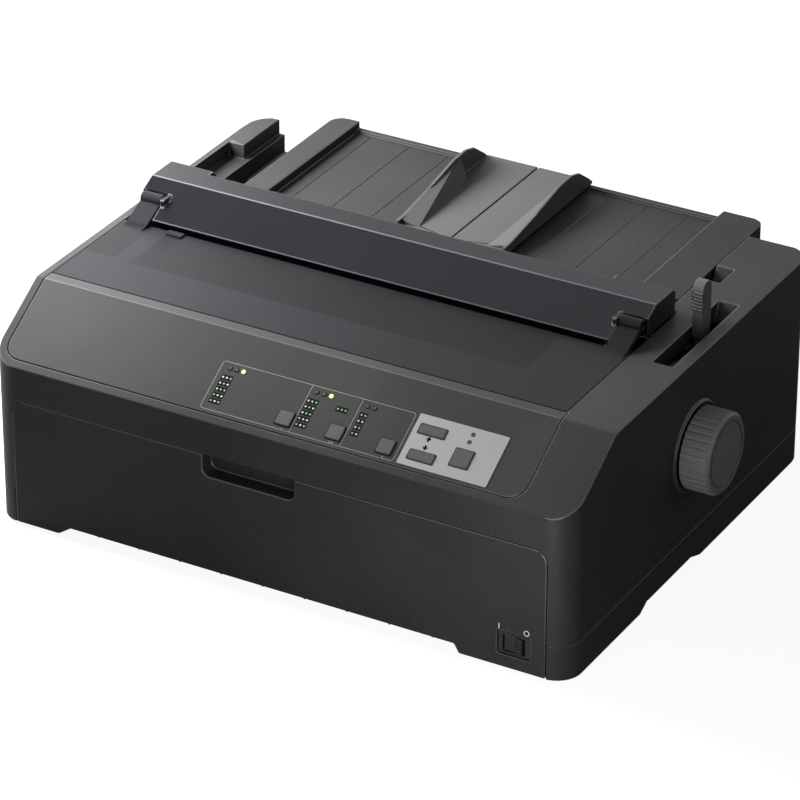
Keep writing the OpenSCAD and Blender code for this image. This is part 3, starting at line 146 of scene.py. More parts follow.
def blank(name, **shader):
    """A new material with a Principled shader that holds the given constant values."""
    look = bpy.data.materials.new(name)
    look.use_nodes = True
    base = look.node_tree.nodes["Principled BSDF"]
    for title, value in shader.items():
        base.inputs[title.replace("_", " ")].default_value = value
    return look, look.node_tree, base


def skinned(name, group, values, shader):
    """A material whose colour, roughness and relief come from one effect."""
    look, tree, base = blank(name, **shader)
    skin = put(tree, "ShaderNodeGroup", values, node_tree=group)
    tree.links.new(skin.outputs["Color"], base.inputs["Base Color"])
    tree.links.new(skin.outputs["Roughness"], base.inputs["Roughness"])
    tree.links.new(skin.outputs["Normal"], base.inputs["Normal"])
    return look


def moulded(name, low, high, size=0.0005, depth=0.00003, rough=0.5, spread=0.2, **shader):
    """Grained moulded plastic between two colours."""
    return skinned(name, grain, {"Low colour": low, "High colour": high, "Grain size": size,
                                 "Grain depth": depth, "Roughness": rough, "Spread": spread},
                   shader)


def new_piece(name, mesh, body):
    """Puts a mesh in the scene as a piece that rides on a body and wears its mesh's material."""
    piece = bpy.data.objects.new(name, mesh)
    bpy.context.scene.collection.objects.link(piece)
    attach(piece, body)
    return piece


def small_rims(work, width):
    """The sharp edges that make up rims narrower than a width, such as those of small holes."""
    left = {edge for edge in work.edges if not edge.smooth}
    small = []
    while left:
        rim, fresh = [], [left.pop()]
        while fresh:
            edge = fresh.pop()
            rim.append(edge)
            near = {other for vert in edge.verts for other in vert.link_edges if other in left}
            left -= near
            fresh += near
        spots = [vert.co for edge in rim for vert in edge.verts]
        spans = [max(spot[axis] for spot in spots) - min(spot[axis] for spot in spots)
                 for axis in range(3)]
        if max(spans) < width:
            small += rim
    return small


LOOK_AROUND = 2.2  # how many radii away a neighbouring edge still counts
GAP_SHARE = 0.42   # the most of the gap to its neighbour that one rounding takes


def set_widths(work, radius):
    """Weighs the sharp edges: where two run close side by side, both are rounded less."""
    weight = work.edges.layers.float.new("bevel_weight_edge")
    spots = []
    for edge in work.edges:
        if not edge.smooth:
            edge[weight] = 1.0
            start, run = edge.verts[0].co, edge.verts[1].co - edge.verts[0].co
            count = max(1, round(run.length / radius * 2))
            along = run.normalized()
            spots += [(start + run * (i + 0.5) / count, edge, along) for i in range(count)]
    tree = KDTree(len(spots))
    for i, (spot, edge, along) in enumerate(spots):
        tree.insert(spot, i)
    tree.balance()
    for spot, edge, along in spots:
        for found, i, away in tree.find_range(spot, radius * LOOK_AROUND):
            other = spots[i][1]
            beside = abs((found - spot).dot(along)) < away / 2
            if beside and other is not edge and not set(other.verts) & set(edge.verts):
                edge[weight] = min(edge[weight], away * GAP_SHARE / radius)
    return weight


SAME_SPOT = 2e-6           # corners of the solid's mesh that lie closer than this are one
CREASE = math.radians(21)  # two faces that meet at more than this have a sharp edge


def eased(node, radius, look, steps=2, painted_highlight_look=None, sharp_rims=0.0):
    """A copy of a solid with rounded edges stands for that solid.

    The roundings may wear a lighter look of their own, a painted highlight; rims narrower than
    sharp_rims stay sharp.
    """
    source = frame["nodes"][node]
    mesh = source.data.copy()
    mesh.materials.clear()
    mesh.materials.append(look)
    work = bmesh.new()
    work.from_mesh(mesh)
    bmesh.ops.remove_doubles(work, verts=work.verts, dist=SAME_SPOT)
    for face in work.faces:
        face.smooth = True
    for edge in work.edges:
        edge.smooth = len(edge.link_faces) == 2 and edge.calc_face_angle(0) < CREASE
    weight = set_widths(work, radius)
    for edge in small_rims(work, sharp_rims):
        edge[weight] = 0.0
    work.to_mesh(mesh)
    work.free()
    piece = new_piece(node + "_skin", mesh, source["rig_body"])
    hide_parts(node)
    round_over = piece.modifiers.new("eased_edge", "BEVEL")
    round_over.width = radius
    round_over.segments = steps
    round_over.limit_method = "WEIGHT"
    round_over.use_clamp_overlap = False
    round_over.miter_outer = "MITER_ARC"
    round_over.face_strength_mode = "FSTR_ALL"
    # The roundings take the second material, which is painted lighter as a painted highlight along
    # the edges.
    if painted_highlight_look:
        mesh.materials.append(painted_highlight_look)
        round_over.material = 1
    flats = piece.modifiers.new("flats_stay_flat", "WEIGHTED_NORMAL")
    flats.use_face_influence = True
    flats.keep_sharp = True


shell = moulded("black_grained_shell", grey(0.016), grey(0.03), size=0.0007, depth=0.00004,
                Specular_IOR_Level=0.2)
eased("base_case", 0.0006, shell)

# ---- Feet ----------------------------------------------------------------------
# Four round rubber pads are pressed into pockets under the base.
# They are matt black, with the dusty bloom of moulded rubber.


def wear(look, *nodes):
    """Gives CAD solids a material and leaves their shape alone."""
    for node in nodes:
        mesh = frame["nodes"][node].data
        mesh.materials.clear()
        mesh.materials.append(look)


rubber = moulded("moulded_rubber", grey(0.012), grey(0.028), size=0.0009, depth=0.00002,
                 rough=0.8, spread=0.15, Specular_IOR_Level=0.3)
wear(rubber, "rubber_feet")

# ---- Chassis -------------------------------------------------------------------
# Two upright side frames stand on a folded cross frame, all of zinc-plated sheet steel
# with rolling marks. The rods between them are ground steel, and the hinge pins of the
# covers are blackened.
LONG_LINES = (30.0, 900.0, 900.0)  # marks per metre in X, Y and Z: drawn out along X
streaks, given, made = effect(
    "drawn_metal",
    [("Low colour", "colour", grey(0.3)), ("High colour", "colour", grey(0.5)),
     ("Stretch", "vector", LONG_LINES), ("Depth", "number", 0.000004),
     ("Roughness", "number", 0.35), ("Spread", "number", 0.2)],
    SKIN_OUTPUTS,
)
place = own_place(streaks)
drawn = put(streaks, "ShaderNodeVectorMath", {0: place, 1: given["Stretch"]},
            operation="MULTIPLY").outputs[0]
lines = put(streaks, "ShaderNodeTexNoise",
            {"Vector": drawn, "Scale": 1.0, "Detail": 4.0}).outputs["Fac"]
blotch = put(streaks, "ShaderNodeTexNoise",
             {"Vector": place, "Scale": 25.0, "Detail": 3.0}).outputs["Fac"]
share = put(streaks, "ShaderNodeMapRange", {"Value": calc(streaks, "ADD", lines, blotch),
                                            "From Min": 0.7, "From Max": 1.3}).outputs[0]
colour = tinted(streaks, share, given["Low colour"], given["High colour"])
rough = calc(streaks, "MULTIPLY_ADD", calc(streaks, "SUBTRACT", share, 0.5), given["Spread"],
             given["Roughness"])
relief = put(streaks, "ShaderNodeBump", {"Distance": given["Depth"], "Height": lines})
give_out(streaks, made, colour, rough, relief)


def drawn_metal(name, low, high, stretch=LONG_LINES, rough=0.35, **shader):
    """Metal with fine lines along the axis that has the fewest marks per metre."""
    return skinned(name, streaks, {"Low colour": low, "High colour": high, "Stretch": stretch,
                                   "Roughness": rough}, shader)


zinc = drawn_metal("zinc_plated_sheet", grey(0.36), (0.515, 0.5, 0.485, 1.0),
                   (700.0, 40.0, 700.0), 0.38, Metallic=1.0)
ground = drawn_metal("ground_steel_rod", grey(0.42), grey(0.6), rough=0.22, Metallic=1.0)
blackened = drawn_metal("blackened_steel_pin", grey(0.03), grey(0.06), rough=0.45, Metallic=0.8)
wear(zinc, "side_frame_left", "side_frame_right", "cross_frame")
wear(ground, "guide_rod", "tractor_rod", "tractor_shaft", "tray_pivot_rod")
wear(blackened, "front_hinge_pins", "lid_hinge_pins", "hood_hinge_pins")

# ---- Paper drive ---------------------------------------------------------------
# The platen is a black rubber tube on a steel shaft; small rubber rollers press on it.
# A train of ivory acetal gears with moulded teeth joins it to the motor and the tractor
# shaft. The toothed wheels and the belt's pulleys are the same acetal.
platen_rubber = moulded("ground_platen_rubber", grey(0.014), grey(0.03), size=0.0003,
                        depth=0.00001, rough=0.62, Specular_IOR_Level=0.35)
acetal = moulded("ivory_acetal", (0.55, 0.52, 0.43, 1), (0.68, 0.65, 0.56, 1), size=0.002,
                 depth=0.000008, rough=0.4, spread=0.15)
wear(platen_rubber, "platen")
wear(ground, "platen_shaft", "feed_pinion")
wear(rubber, "bail_rollers")
wear(acetal, "platen_gear", "feed_idler", "tractor_idler", "sprocket_left", "sprocket_right",
     "drive_pulley", "tension_pulley")

# ---- Tractors ------------------------------------------------------------------
# Two pin-feed units slide on the square shaft. Body and paper flap are grey moulded
# plastic, snapped together, with the ivory pin wheel between them.
tractor_grey = moulded("grey_tractor_plastic", grey(0.1), grey(0.16), size=0.0006,
                       depth=0.00002)
wear(tractor_grey, "tractor_left", "tractor_right", "tractor_flap_left", "tractor_flap_right")

# ---- Motors and print head -----------------------------------------------------
# Round stepping motors in black stoved enamel, and a finned head that prints through pins.
# The enamel is satin with a slight orange peel.
enamel = moulded("black_stoved_enamel", grey(0.02), grey(0.032), size=0.0016, depth=0.00004,
                 rough=0.3, spread=0.12, Coat_Weight=0.3, Coat_Roughness=0.2)
wear(enamel, "feed_motor", "carriage_motor", "print_head")

# ---- Carriage and ribbon -------------------------------------------------------
# The carriage and the ribbon cartridge are plain black mouldings, the belt is rubber.
# The ribbon's winding knob and the thickness lever are blue, to be found by hand.
works_black = moulded("plain_black_moulding", grey(0.012), grey(0.024), size=0.0012,
                      depth=0.000012, rough=0.42, spread=0.12)
handle_blue = moulded("blue_handle_plastic", (0.02, 0.07, 0.22, 1), (0.035, 0.11, 0.32, 1),
                      size=0.0008, depth=0.000015, rough=0.4)
wear(works_black, "carriage", "ribbon_cartridge", "power_switch")
wear(rubber, "drive_belt")
wear(handle_blue, "ribbon_knob", "thickness_lever")

# ---- Boards and supply ---------------------------------------------------------
# The boards are green lacquered laminate, screwed down on posts, with the copper tracks
# showing lighter through the lacquer. The power supply stands in a folded zinc-plated tray.
TRACKS_PER_METRE = 260.0
board_look, tree, base = blank("lacquered_board", Roughness=0.3, Coat_Weight=0.5,
                               Coat_Roughness=0.12)
tracks = put(tree, "ShaderNodeTexVoronoi", {"Vector": own_place(tree), "Scale": TRACKS_PER_METRE},
             distance="CHEBYCHEV", feature="DISTANCE_TO_EDGE")
bare = put(tree, "ShaderNodeMapRange", {"Value": tracks.outputs["Distance"], "From Min": 0.05,
                                        "From Max": 0.09}).outputs[0]
lacquer = tinted(tree, bare, (0.05, 0.2, 0.07, 1), (0.012, 0.09, 0.035, 1))
tree.links.new(lacquer, base.inputs["Base Color"])
wear(board_look, "main_board", "panel_board")
wear(zinc, "power_supply")

# ---- Upper housing -------------------------------------------------------------
# One large black moulding: side walls, sloped front frame, top margins and back wall.
# It has the same grain as the base, and its rounded edges are painted lighter as a painted
# highlight.
# Painted highlight: the housing's roundings get this lighter grey.
shell_highlight_paint = moulded("painted_highlight_shell_edge", grey(0.035), grey(0.05), size=0.0007, depth=0.00002,
                     rough=0.42, spread=0.1)
eased("upper_housing", 0.0007, shell, painted_highlight_look=shell_highlight_paint)

# ---- Front cover ---------------------------------------------------------------
# A drop-down flap with a finger recess at its top edge, hung on two pins low down.
# Beside the power rocker a plain stroke and a ring are printed on it in light grey.
# Its rounded edges wear the same lighter painted highlight as the housing's.
eased("front_cover", 0.0007, shell, painted_highlight_look=shell_highlight_paint)

MIDDLE, FRONT_FACE = 11.0, 179.5  # the housing's middle and front in the frame, in mm
INK_THICK, INK_LIFT = 0.00004, 0.00002  # a print's thickness and its gap to the surface


def at(x, y, z):
    """A place in millimetres from the middle of the front edge, at table height."""
    return Vector((x - MIDDLE, y - FRONT_FACE, z)) / 1000


def printed(name, outlines, lift, look, body):
    """Thin printed shapes: each outline is a list of (u, v), laid down by lift(u, v, height)."""
    mesh = bpy.data.meshes.new(name)
    work = bmesh.new()
    for outline in outlines:
        low = [work.verts.new(lift(u, v, 0.0)) for u, v in outline]
        high = [work.verts.new(lift(u, v, INK_THICK)) for u, v in outline]
        work.faces.new(low[::-1])
        work.faces.new(high)
        for i in range(len(low)):
            j = (i + 1) % len(low)
            work.faces.new((low[i], low[j], high[j], high[i]))
    bmesh.ops.recalc_face_normals(work, faces=work.faces)
    work.to_mesh(mesh)
    work.free()
    mesh.materials.append(look)
    new_piece(name, mesh, body)


def slab(u0, v0, u1, v1):
    """An oblong outline."""
    return [(u0, v0), (u1, v0), (u1, v1), (u0, v1)]


def disc(u, v, r, corners=14):
    """A round outline."""
    turns = [2 * math.pi * i / corners for i in range(corners)]
    return [(u + r * math.cos(turn), v + r * math.sin(turn)) for turn in turns]


def band(outer, inner):
    """The four-sided outlines between two outlines with as many corners."""
    follow = [(i, (i + 1) % len(outer)) for i in range(len(outer))]
    return [[outer[i], outer[j], inner[j], inner[i]] for i, j in follow]


def ring(u, v, r, width, corners=24):
    """The outlines of a ring of one line width."""
    return band(disc(u, v, r, corners), disc(u, v, r - width, corners))


def on_front(u, v, height):
    return at(u, 0, v) + Vector((0, -height - INK_LIFT, 0))


print_grey = moulded("light_grey_print", grey(0.5), grey(0.6), size=0.0003, depth=0.000004,
                     rough=0.6, spread=0.1)
stroke = slab(158.9, 29.2, 159.5, 33.2)
printed("switch_marks", [stroke] + ring(178.1, 31.2, 2.0, 0.55), on_front, print_grey,
        "front_cover")

# ---- Control cover -------------------------------------------------------------
# A snapped-in sloping cover over the panel board, bent over the edge towards the lid.
# A rounded frame, two dividers and rows of code dots are screen printed on it.
cover_skin = moulded("grey_control_cover", grey(0.02), grey(0.034), size=0.0007,
                     rough=0.48, Specular_IOR_Level=0.18)
# Its rounded edges wear the same lighter painted highlight as the housing's.
eased("control_cover", 0.0006, cover_skin, painted_highlight_look=shell_highlight_paint, sharp_rims=0.02)

SLOPE = math.atan2(34.8, 56.5)  # the cover's rise and run from its front edge to its bend
FRONT_EDGE = 115.2              # the height of that edge, in mm


def on_slope(u, v, height, base=0.0):
    """A place on the cover: millimetres across and up the slope, then metres above it."""
    h = (base + height) * 1000
    return at(u, v * math.cos(SLOPE) - h * math.sin(SLOPE),
              FRONT_EDGE + v * math.sin(SLOPE) + h * math.cos(SLOPE))


def rounded(u0, v0, u1, v1, r, steps=6):
    """An oblong outline with round corners."""
    spots = []
    for u, v, start in ((u1 - r, v1 - r, 0), (u0 + r, v1 - r, 90), (u0 + r, v0 + r, 180),
                        (u1 - r, v0 + r, 270)):
        for i in range(steps + 1):
            turn = math.radians(start + 90 * i / steps)
            spots.append((turn, u, v))
    return [(u + r * math.cos(turn), v + r * math.sin(turn)) for turn, u, v in spots]


def round_frame(u0, v0, u1, v1, r, width):
    """The outlines of a frame of one line width with round corners."""
    return band(rounded(u0, v0, u1, v1, r),
                rounded(u0 + width, v0 + width, u1 - width, v1 - width, r - width))


LINE = 0.36
LEFT, LOW, RIGHT, HIGH = -56, 8.5, 81, 44  # the printed frame on the slope, in mm
strokes = round_frame(LEFT, LOW, RIGHT, HIGH, 2.2, LINE)
for divider in (7.9, 43.7):
    strokes.append(slab(divider, LOW + 0.4, divider + LINE, HIGH - 0.3))
# Thick stretches of the lower line, each with a riser at one end beside a key
for left, right, riser in ((2.4, 13.3, 2.4), (25.4, 36.2, 36.2), (38.0, 46.3, 38.0),
                           (64.8, 73.2, 73.2)):
    strokes += [slab(left, LOW - 0.2, right, LOW + 0.4),
                slab(riser - 0.3, LOW + 0.4, riser + 0.3, LOW + 1.9)]
panel_ink = moulded("grey_panel_print", grey(0.13), grey(0.17), size=0.0003, depth=0.000004,
                    rough=0.6, spread=0.1)
printed("panel_frame", strokes, on_slope, panel_ink, "housing")

# Code dots: a dark tile per row, with light and green dots on it
# This dark ink also paints the painted shadow round the keys further down.
print_and_shadow_ink = moulded("dark_print_and_painted_shadow", grey(0.004), grey(0.009), size=0.0003, depth=0.000003,
                   rough=0.7, Specular_IOR_Level=0.05)
dot_white = moulded("white_print", grey(0.28), grey(0.36), size=0.0003, depth=0.000003,
                    rough=0.55)
dot_green = moulded("green_print", (0.09, 0.2, 0.08, 1), (0.12, 0.26, 0.11, 1), size=0.0003,
                    depth=0.000003, rough=0.55)
DOT_STEP, DOT_R = 2.7, 0.66
TILE_SIDE, TILE_RISE = 1.4, 1.9   # how far a tile reaches past its dots, across and up
TILE_TOP = 0.00005                # the dots lie this far above the cover, on their tiles
three_dots = ("001", "010", "011", "100", "101")  # 1 is a green dot, 0 a light one
rows = [(u, 32.8 - 4.4 * i, code) for u in (-51.0, 10.2) for i, code in enumerate(three_dots)]
rows += [(31.0, 32.7, "111")]
rows += [(47.5, 33.0 - 4.5 * i, code) for i, code in enumerate(("11", "00", "01", "10"))]
tiles, light_dots, green_dots = [], [], []
for u, v, code in rows:
    last = u + DOT_STEP * (len(code) - 1)
    tiles.append(slab(u - TILE_SIDE, v - TILE_RISE, last + TILE_SIDE, v + TILE_RISE))
    for i, mark in enumerate(code):
        dot = disc(u + DOT_STEP * i, v, DOT_R)
        (green_dots if mark == "1" else light_dots).append(dot)


def on_tile(u, v, height):
    return on_slope(u, v, height, TILE_TOP)


printed("code_tiles", tiles, on_slope, print_and_shadow_ink, "housing")
printed("code_dots_light", light_dots, on_tile, dot_white, "housing")
printed("code_dots_green", green_dots, on_tile, dot_green, "housing")

# ---- Label plate ---------------------------------------------------------------
# A thin silver foil with a satin lacquer, stuck on beside the printed frame.
# Two plain arrows are printed on it, between the two oblong keys.
foil = moulded("silver_lacquered_foil", grey(0.22), grey(0.25), size=0.00035, depth=0.000006,
               rough=0.42, spread=0.12, Metallic=0.25)
wear(foil, "label_plate")
FOIL_TOP = 0.00032  # the foil's face above the cover


def on_foil(u, v, height):
    return on_slope(u, v, height, FOIL_TOP)


def arrow(u, v, way):
    """A head on a short stem; the way is 1 up the slope and -1 down it."""
    tail = v - 1.4 * way
    return [[(u - 1.9 * way, v), (u + 1.9 * way, v), (u, v + 2.3 * way)],
            slab(u - 0.6, min(v, tail), u + 0.6, max(v, tail))]


printed("key_arrows", arrow(96.3, 28.7, 1) + arrow(96.6, 23.4, -1), on_foil, print_and_shadow_ink,
        "housing")

# ---- Lamps ---------------------------------------------------------------------
# Small round light pipes stand just out of the cover, over the lamps on the panel board.
# Two are lit yellow-green. The other six are dull dark lenses, each in a thin dark ring.
lit, tree, base = blank("lit_lens", Roughness=0.3, Emission_Strength=1.0)
glow = put(tree, "ShaderNodeTexNoise", {"Vector": own_place(tree), "Scale": 600.0})
hue = tinted(tree, glow.outputs["Fac"], (0.32, 0.75, 0.1, 1), (0.48, 0.92, 0.24, 1))
tree.links.new(hue, base.inputs["Emission Color"])
tree.links.new(hue, base.inputs["Base Color"])
dark_lens = moulded("dark_lens", (0.036, 0.042, 0.035, 1), (0.048, 0.054, 0.046, 1),
                    size=0.002, depth=0.000004, spread=0.1, Specular_IOR_Level=0.2)
eased("lamps_lit", 0.0003, lit)
eased("lamps_dark", 0.0002, dark_lens)
LAMP_ROW = 39.7
lamp_rings = []
for u in (-49.6, -44.8, 12.6, 17.8, 48.3, 53.4):
    lamp_rings += ring(u, LAMP_ROW, 1.8, 0.35)
printed("lamp_rings", lamp_rings, on_slope, print_and_shadow_ink, "housing")

# ---- Keys ----------------------------------------------------------------------
# Six grey key caps with rounded rims stand a little out of the cover, in close gaps.
# They slide down on their own stems against rubber springs. A black rim is painted round
# each one, wider below and to the right, as painted shadow in the gap beside it.
key_skin = moulded("grey_key_cap", grey(0.038), grey(0.052), size=0.0004, depth=0.00002)
for key in ("one", "two", "three", "upper", "lower", "right"):
    eased("key_" + key, 0.0003, key_skin)
# Middle across, middle up the slope, width and height of each cap, in mm
cover_caps = [(1.3, 16.8, 9.9, 9.9), (37, 16.8, 9.9, 9.9), (72.2, 16.8, 9.9, 9.9)]
foil_caps = [(96.2, 35, 17.6, 6.2), (97, 16.6, 17, 6.2), (122.1, 22.6, 12, 12)]
# The painted shadow's width from each cap outwards, widest below and to the right.
SHADOW_LEFT, SHADOW_LOW, SHADOW_RIGHT, SHADOW_HIGH = 0.75, 0.95, 0.95, 0.6  # from the cap to outside
for name, caps, surface in (("key_painted_shadows", cover_caps, on_slope),
                            ("foil_key_painted_shadows", foil_caps, on_foil)):
    rims = []
    for u, v, width, height in caps:
        rims += round_frame(u - width / 2 - SHADOW_LEFT, v - height / 2 - SHADOW_LOW,
                            u + width / 2 + SHADOW_RIGHT, v + height / 2 + SHADOW_HIGH, 1.0, 0.5)
    printed(name, rims, surface, print_and_shadow_ink, "housing")

# ---- Power rocker --------------------------------------------------------------
# A black rocker stands in a window of the front cover. It is one moulding with its two
# pivot studs, which snap into the switch body behind.
eased("power_rocker", 0.0004, works_black)

# ---- Printer lid ---------------------------------------------------------------
# A flat smoked plastic sheet with two hinge barrels that turn on steel pins. It is
# polished over the print works, so a darker window shows inside a finely grained border.


def violet(level):
    """The colour of smoked plastic, a dark grey that leans to violet."""
    return (level * 0.97, level * 0.92, level * 1.12, 1.0)


WINDOW_BLUR = 0.0006  # the width over which the polish fades into the grain


def window(tree, axes, low, high):
    """A mask for the polished oblong between two corners in X and Y."""
    inside = []
    for axis in (0, 1):
        middle, half = (low[axis] + high[axis]) / 2, (high[axis] - low[axis]) / 2
        away = calc(tree, "ABSOLUTE", calc(tree, "SUBTRACT", axes.outputs[axis], middle))
        inside.append(put(tree, "ShaderNodeMapRange", {
            "Value": away, "From Min": half, "From Max": half - WINDOW_BLUR}).outputs[0])
    return calc(tree, "MULTIPLY", *inside)


def grained(tree, low, high, depth, spread):
    """The grain effect with the values for one part of the sheet."""
    return put(tree, "ShaderNodeGroup", {
        "Low colour": low, "High colour": high, "Grain size": 0.0006, "Grain depth": depth,
        "Roughness": 0.4, "Spread": spread}, node_tree=grain)


lid_look, tree, base = blank("smoked_lid_sheet", Specular_IOR_Level=0.12)
border = grained(tree, violet(0.007), violet(0.011), 0.00004, 0.25)
clear = grained(tree, violet(0.004), violet(0.007), 0.000012, 0.1)
axes = put(tree, "ShaderNodeSeparateXYZ", {0: own_place(tree)})
mask = calc(tree, "MAXIMUM", window(tree, axes, at(-166, 101, 0), at(121, 149, 0)),
            window(tree, axes, at(-200, 102, 0), at(-178, 149, 0)))
tint = tinted(tree, mask, border.outputs["Color"], clear.outputs["Color"])
gloss = put(tree, "ShaderNodeMix", {0: mask, 2: border.outputs["Roughness"],
                                    3: clear.outputs["Roughness"]}, data_type="FLOAT")
bend = put(tree, "ShaderNodeMix", {0: mask, 4: border.outputs["Normal"],
                                   5: clear.outputs["Normal"]}, data_type="VECTOR")
tree.links.new(tint, base.inputs["Base Color"])
tree.links.new(gloss.outputs[0], base.inputs["Roughness"])
tree.links.new(bend.outputs[1], base.inputs["Normal"])
eased("printer_lid", 0.0005, lid_look)

# ---- Hood ----------------------------------------------------------------------
# The smoked hood behind the lid is bent over a ridge and closed by cheeks at both ends.
# It is grained all over, and its rounded edges are painted lighter, as thin painted highlight
# lines. A strip welded behind its front edge hides the works from above.
hood_look = moulded("smoked_hood", violet(0.0002), violet(0.003), size=0.0009, depth=0.00006,
                    rough=0.38, spread=0.25, Specular_IOR_Level=0.4,
                    Specular_Tint=(0.9, 0.87, 1, 1))
# Painted highlight: the hood's roundings get this much lighter violet.
hood_highlight_paint = moulded("painted_highlight_hood_edge", violet(0.05), violet(0.08), size=0.0009,
                    depth=0.00002, rough=0.3, spread=0.1)
eased("hood", 0.0008, hood_look, 3, painted_highlight_look=hood_highlight_paint)

STRIP_LEFT, STRIP_RIGHT = -178, 146
strip_outline = [(157.0, 152.4), (157.0, 146.6), (156.2, 145.6), (158.6, 145.6), (158.6, 152.4)]
mesh = bpy.data.meshes.new("hood_shield")
strip = bmesh.new()
end_face = strip.faces.new([strip.verts.new(at(STRIP_LEFT, y, z)) for y, z in strip_outline])
grown = bmesh.ops.extrude_face_region(strip, geom=[end_face])["geom"]
far_end = [item for item in grown if isinstance(item, bmesh.types.BMVert)]
bmesh.ops.translate(strip, verts=far_end, vec=at(STRIP_RIGHT, 0, 0) - at(STRIP_LEFT, 0, 0))
bmesh.ops.recalc_face_normals(strip, faces=strip.faces)
bmesh.ops.bevel(strip, geom=strip.edges, offset=0.0002, segments=2, affect="EDGES")
strip.to_mesh(mesh)
strip.free()
mesh.materials.append(hood_look)
new_piece("hood_shield", mesh, "hood")

# ---- Sheet tray ----------------------------------------------------------------
# A grained black tray with two hollow rails and long grooves, pivoted on a steel rod.
# A short ruler of plain dots is printed near its right rail.
tray_skin = moulded("grey_grained_tray", grey(0.015), grey(0.027), size=0.0007,
                    Specular_IOR_Level=0.15)
# Painted highlight: the tray's rounded edges are painted this lighter grey.
tray_highlight_paint = moulded("painted_highlight_tray_edge", grey(0.03), grey(0.044), size=0.0007, depth=0.00002,
                    rough=0.42, spread=0.1)
eased("paper_tray", 0.0006, tray_skin, painted_highlight_look=tray_highlight_paint)
TRAY_TOP = 142.0


def on_tray(u, v, height):
    return at(u, v, TRAY_TOP) + Vector((0, 0, height + INK_LIFT))


small_dots = [disc(90 + 2.4 * i, 298.3 + 0.09 * i, 0.3, 8) for i in range(15)]
large_dots = [disc(u, v, 0.7, 10) for u, v in ((98.2, 302.0), (111.0, 303.4), (123.8, 304.0))]
printed("tray_ruler", small_dots + large_dots, on_tray, print_and_shadow_ink, "tray")

# ---- Edge guides ---------------------------------------------------------------
# Two light grey mouldings, a plate with an upright fence each, slide along the tray.
# Each is moulded in one, with a bar under its plate that slides on the tray.
guide_skin = moulded("light_grey_guide", grey(0.05), grey(0.064), size=0.0006, depth=0.00002,
                     Specular_IOR_Level=0.3)
for side in ("left", "right"):
    eased("edge_guide_" + side, 0.0005, guide_skin)

# ---- Release lever and knob ----------------------------------------------------
# The lever is a ribbed grey moulding that stands out of a slot in the top. The platen
# knob is a softer grey moulding with a fluted rim, pushed on the end of the platen shaft.
lever_skin = moulded("grey_lever", grey(0.07), grey(0.09), depth=0.00002)
knob_skin = moulded("grey_fluted_knob", grey(0.13), grey(0.17), size=0.0006, depth=0.00002,
                    rough=0.55)
eased("release_lever", 0.0004, lever_skin)
wear(knob_skin, "platen_knob")

# ---- Rear ports ----------------------------------------------------------------
# The data connector and the mains inlet are black mouldings set into the back wall.
# Both are held from inside, the connector on the main board and the inlet on the supply.
wear(works_black, "rear_ports")

# ---- Floor and backdrop --------------------------------------------------------
# A plain table under a plain sky. Seen directly both are white, and the sky is white in
# gloss too; the table keeps the soft shadow under the printer.
TABLE_WHITE, SKY_WHITE, SKY_FILL = 0.92, 1.0, 0.18
floor_look, tree, base = blank("white_table", Roughness=0.9, Specular_IOR_Level=0.1)
mottle = put(tree, "ShaderNodeTexNoise", {"Vector": own_place(tree), "Scale": 3.0})
paint = tinted(tree, mottle.outputs["Fac"], grey(0.11), grey(0.13))
tree.links.new(paint, base.inputs["Base Color"])
seen = put(tree, "ShaderNodeLightPath").outputs["Is Camera Ray"]
white = put(tree, "ShaderNodeEmission", {"Strength": TABLE_WHITE}).outputs[0]
dark = put(tree, "ShaderNodeEmission", {"Strength": 0.0}).outputs[0]
direct = put(tree, "ShaderNodeMixShader", {0: seen, 1: dark, 2: white}).outputs[0]
both = put(tree, "ShaderNodeAddShader", {0: base.outputs[0], 1: direct}).outputs[0]
tree.links.new(both, tree.nodes["Material Output"].inputs["Surface"])
mesh = bpy.data.meshes.new("table_top")
top = bmesh.new()
bmesh.ops.create_circle(top, cap_ends=True, segments=64, radius=6.0)
top.to_mesh(mesh)
top.free()
mesh.materials.append(floor_look)
floor = bpy.data.objects.new("table_top", mesh)
bpy.context.scene.collection.objects.link(floor)

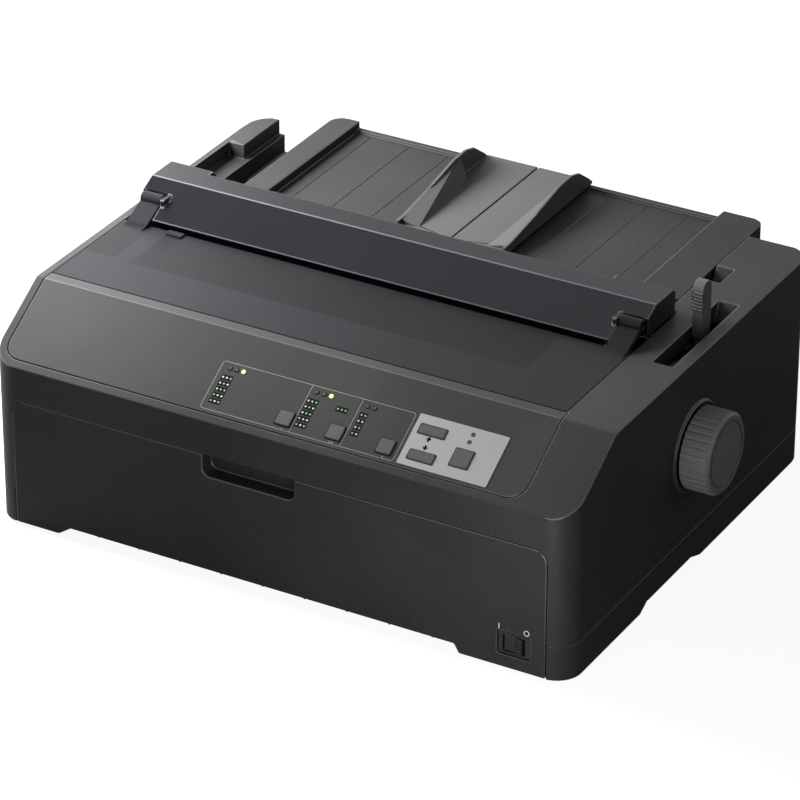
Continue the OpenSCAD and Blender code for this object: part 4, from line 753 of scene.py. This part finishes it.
world = bpy.data.worlds.new("white_sky")
bpy.context.scene.world = world
world.use_nodes = True
sky = world.node_tree
sky.nodes.clear()
rays = put(sky, "ShaderNodeLightPath").outputs
shown = calc(sky, "MAXIMUM", rays["Is Camera Ray"], rays["Is Glossy Ray"])
shown = calc(sky, "MAXIMUM", shown, rays["Is Transmission Ray"])
fill = put(sky, "ShaderNodeBackground", {"Color": (1, 1, 1, 1), "Strength": SKY_FILL})
white = put(sky, "ShaderNodeBackground", {"Color": (1, 1, 1, 1), "Strength": SKY_WHITE})
chosen = put(sky, "ShaderNodeMixShader", {0: shown, 1: fill.outputs[0], 2: white.outputs[0]})
put(sky, "ShaderNodeOutputWorld", {"Surface": chosen.outputs[0]})

# ---- Lamps of the studio -------------------------------------------------------
# A strong soft box stands close by on the left, above the printer, and leaves no gloss.
# A weak one stands further off behind it on the left, for the edges, and a small low one
# lights the right end of the front face.


def soft_box(name, spot, aim, size, power, glossy=True):
    """A square lamp at one spot that shines towards another."""
    lamp = bpy.data.lights.new(name, "AREA")
    lamp.size = size
    lamp.energy = power
    box = bpy.data.objects.new(name, lamp)
    box.location = spot
    box.rotation_euler = (Vector(aim) - Vector(spot)).to_track_quat("-Z", "Y").to_euler()
    box.visible_camera = False
    box.visible_glossy = glossy
    bpy.context.scene.collection.objects.link(box)


soft_box("key_box", (-0.45, -0.05, 0.4), (-0.1, -0.05, 0.1), 0.3, 19.0, glossy=False)
soft_box("back_box", (-0.7, 0.5, 0.5), (-0.1, 0.0, 0.1), 0.35, 1.5)
soft_box("front_box", (0.2, -0.42, 0.07), (0.14, -0.17, 0.05), 0.2, 0.85)

# ---- Camera --------------------------------------------------------------------
# A long lens looks down at the printer from the front right, at the angle of the
# photograph. Its turn and height come from the edges of the housing.
TURN, RAISE, ROLL = math.radians(29.44), math.radians(28.86), math.radians(0.13)
back = Vector((math.sin(TURN) * math.cos(RAISE), -math.cos(TURN) * math.cos(RAISE),
               math.sin(RAISE)))
level = Vector((math.cos(TURN), math.sin(TURN), 0))
upright = back.cross(level)
across = level * math.cos(ROLL) + upright * math.sin(ROLL)
upright = upright * math.cos(ROLL) - level * math.sin(ROLL)
lens = bpy.data.cameras.new("photo_lens")
lens.lens = 208.54
lens.sensor_width = 36.0
lens.sensor_fit = "HORIZONTAL"
lens.clip_end = 50.0
camera = bpy.data.objects.new("photo_camera", lens)
facing = Matrix((across, upright, back)).transposed().to_4x4()
camera.matrix_world = Matrix.Translation(at(1279.9, -2108.0, 1502.0)) @ facing
bpy.context.scene.collection.objects.link(camera)
bpy.context.scene.camera = camera
bpy.context.scene.view_settings.view_transform = "Standard"
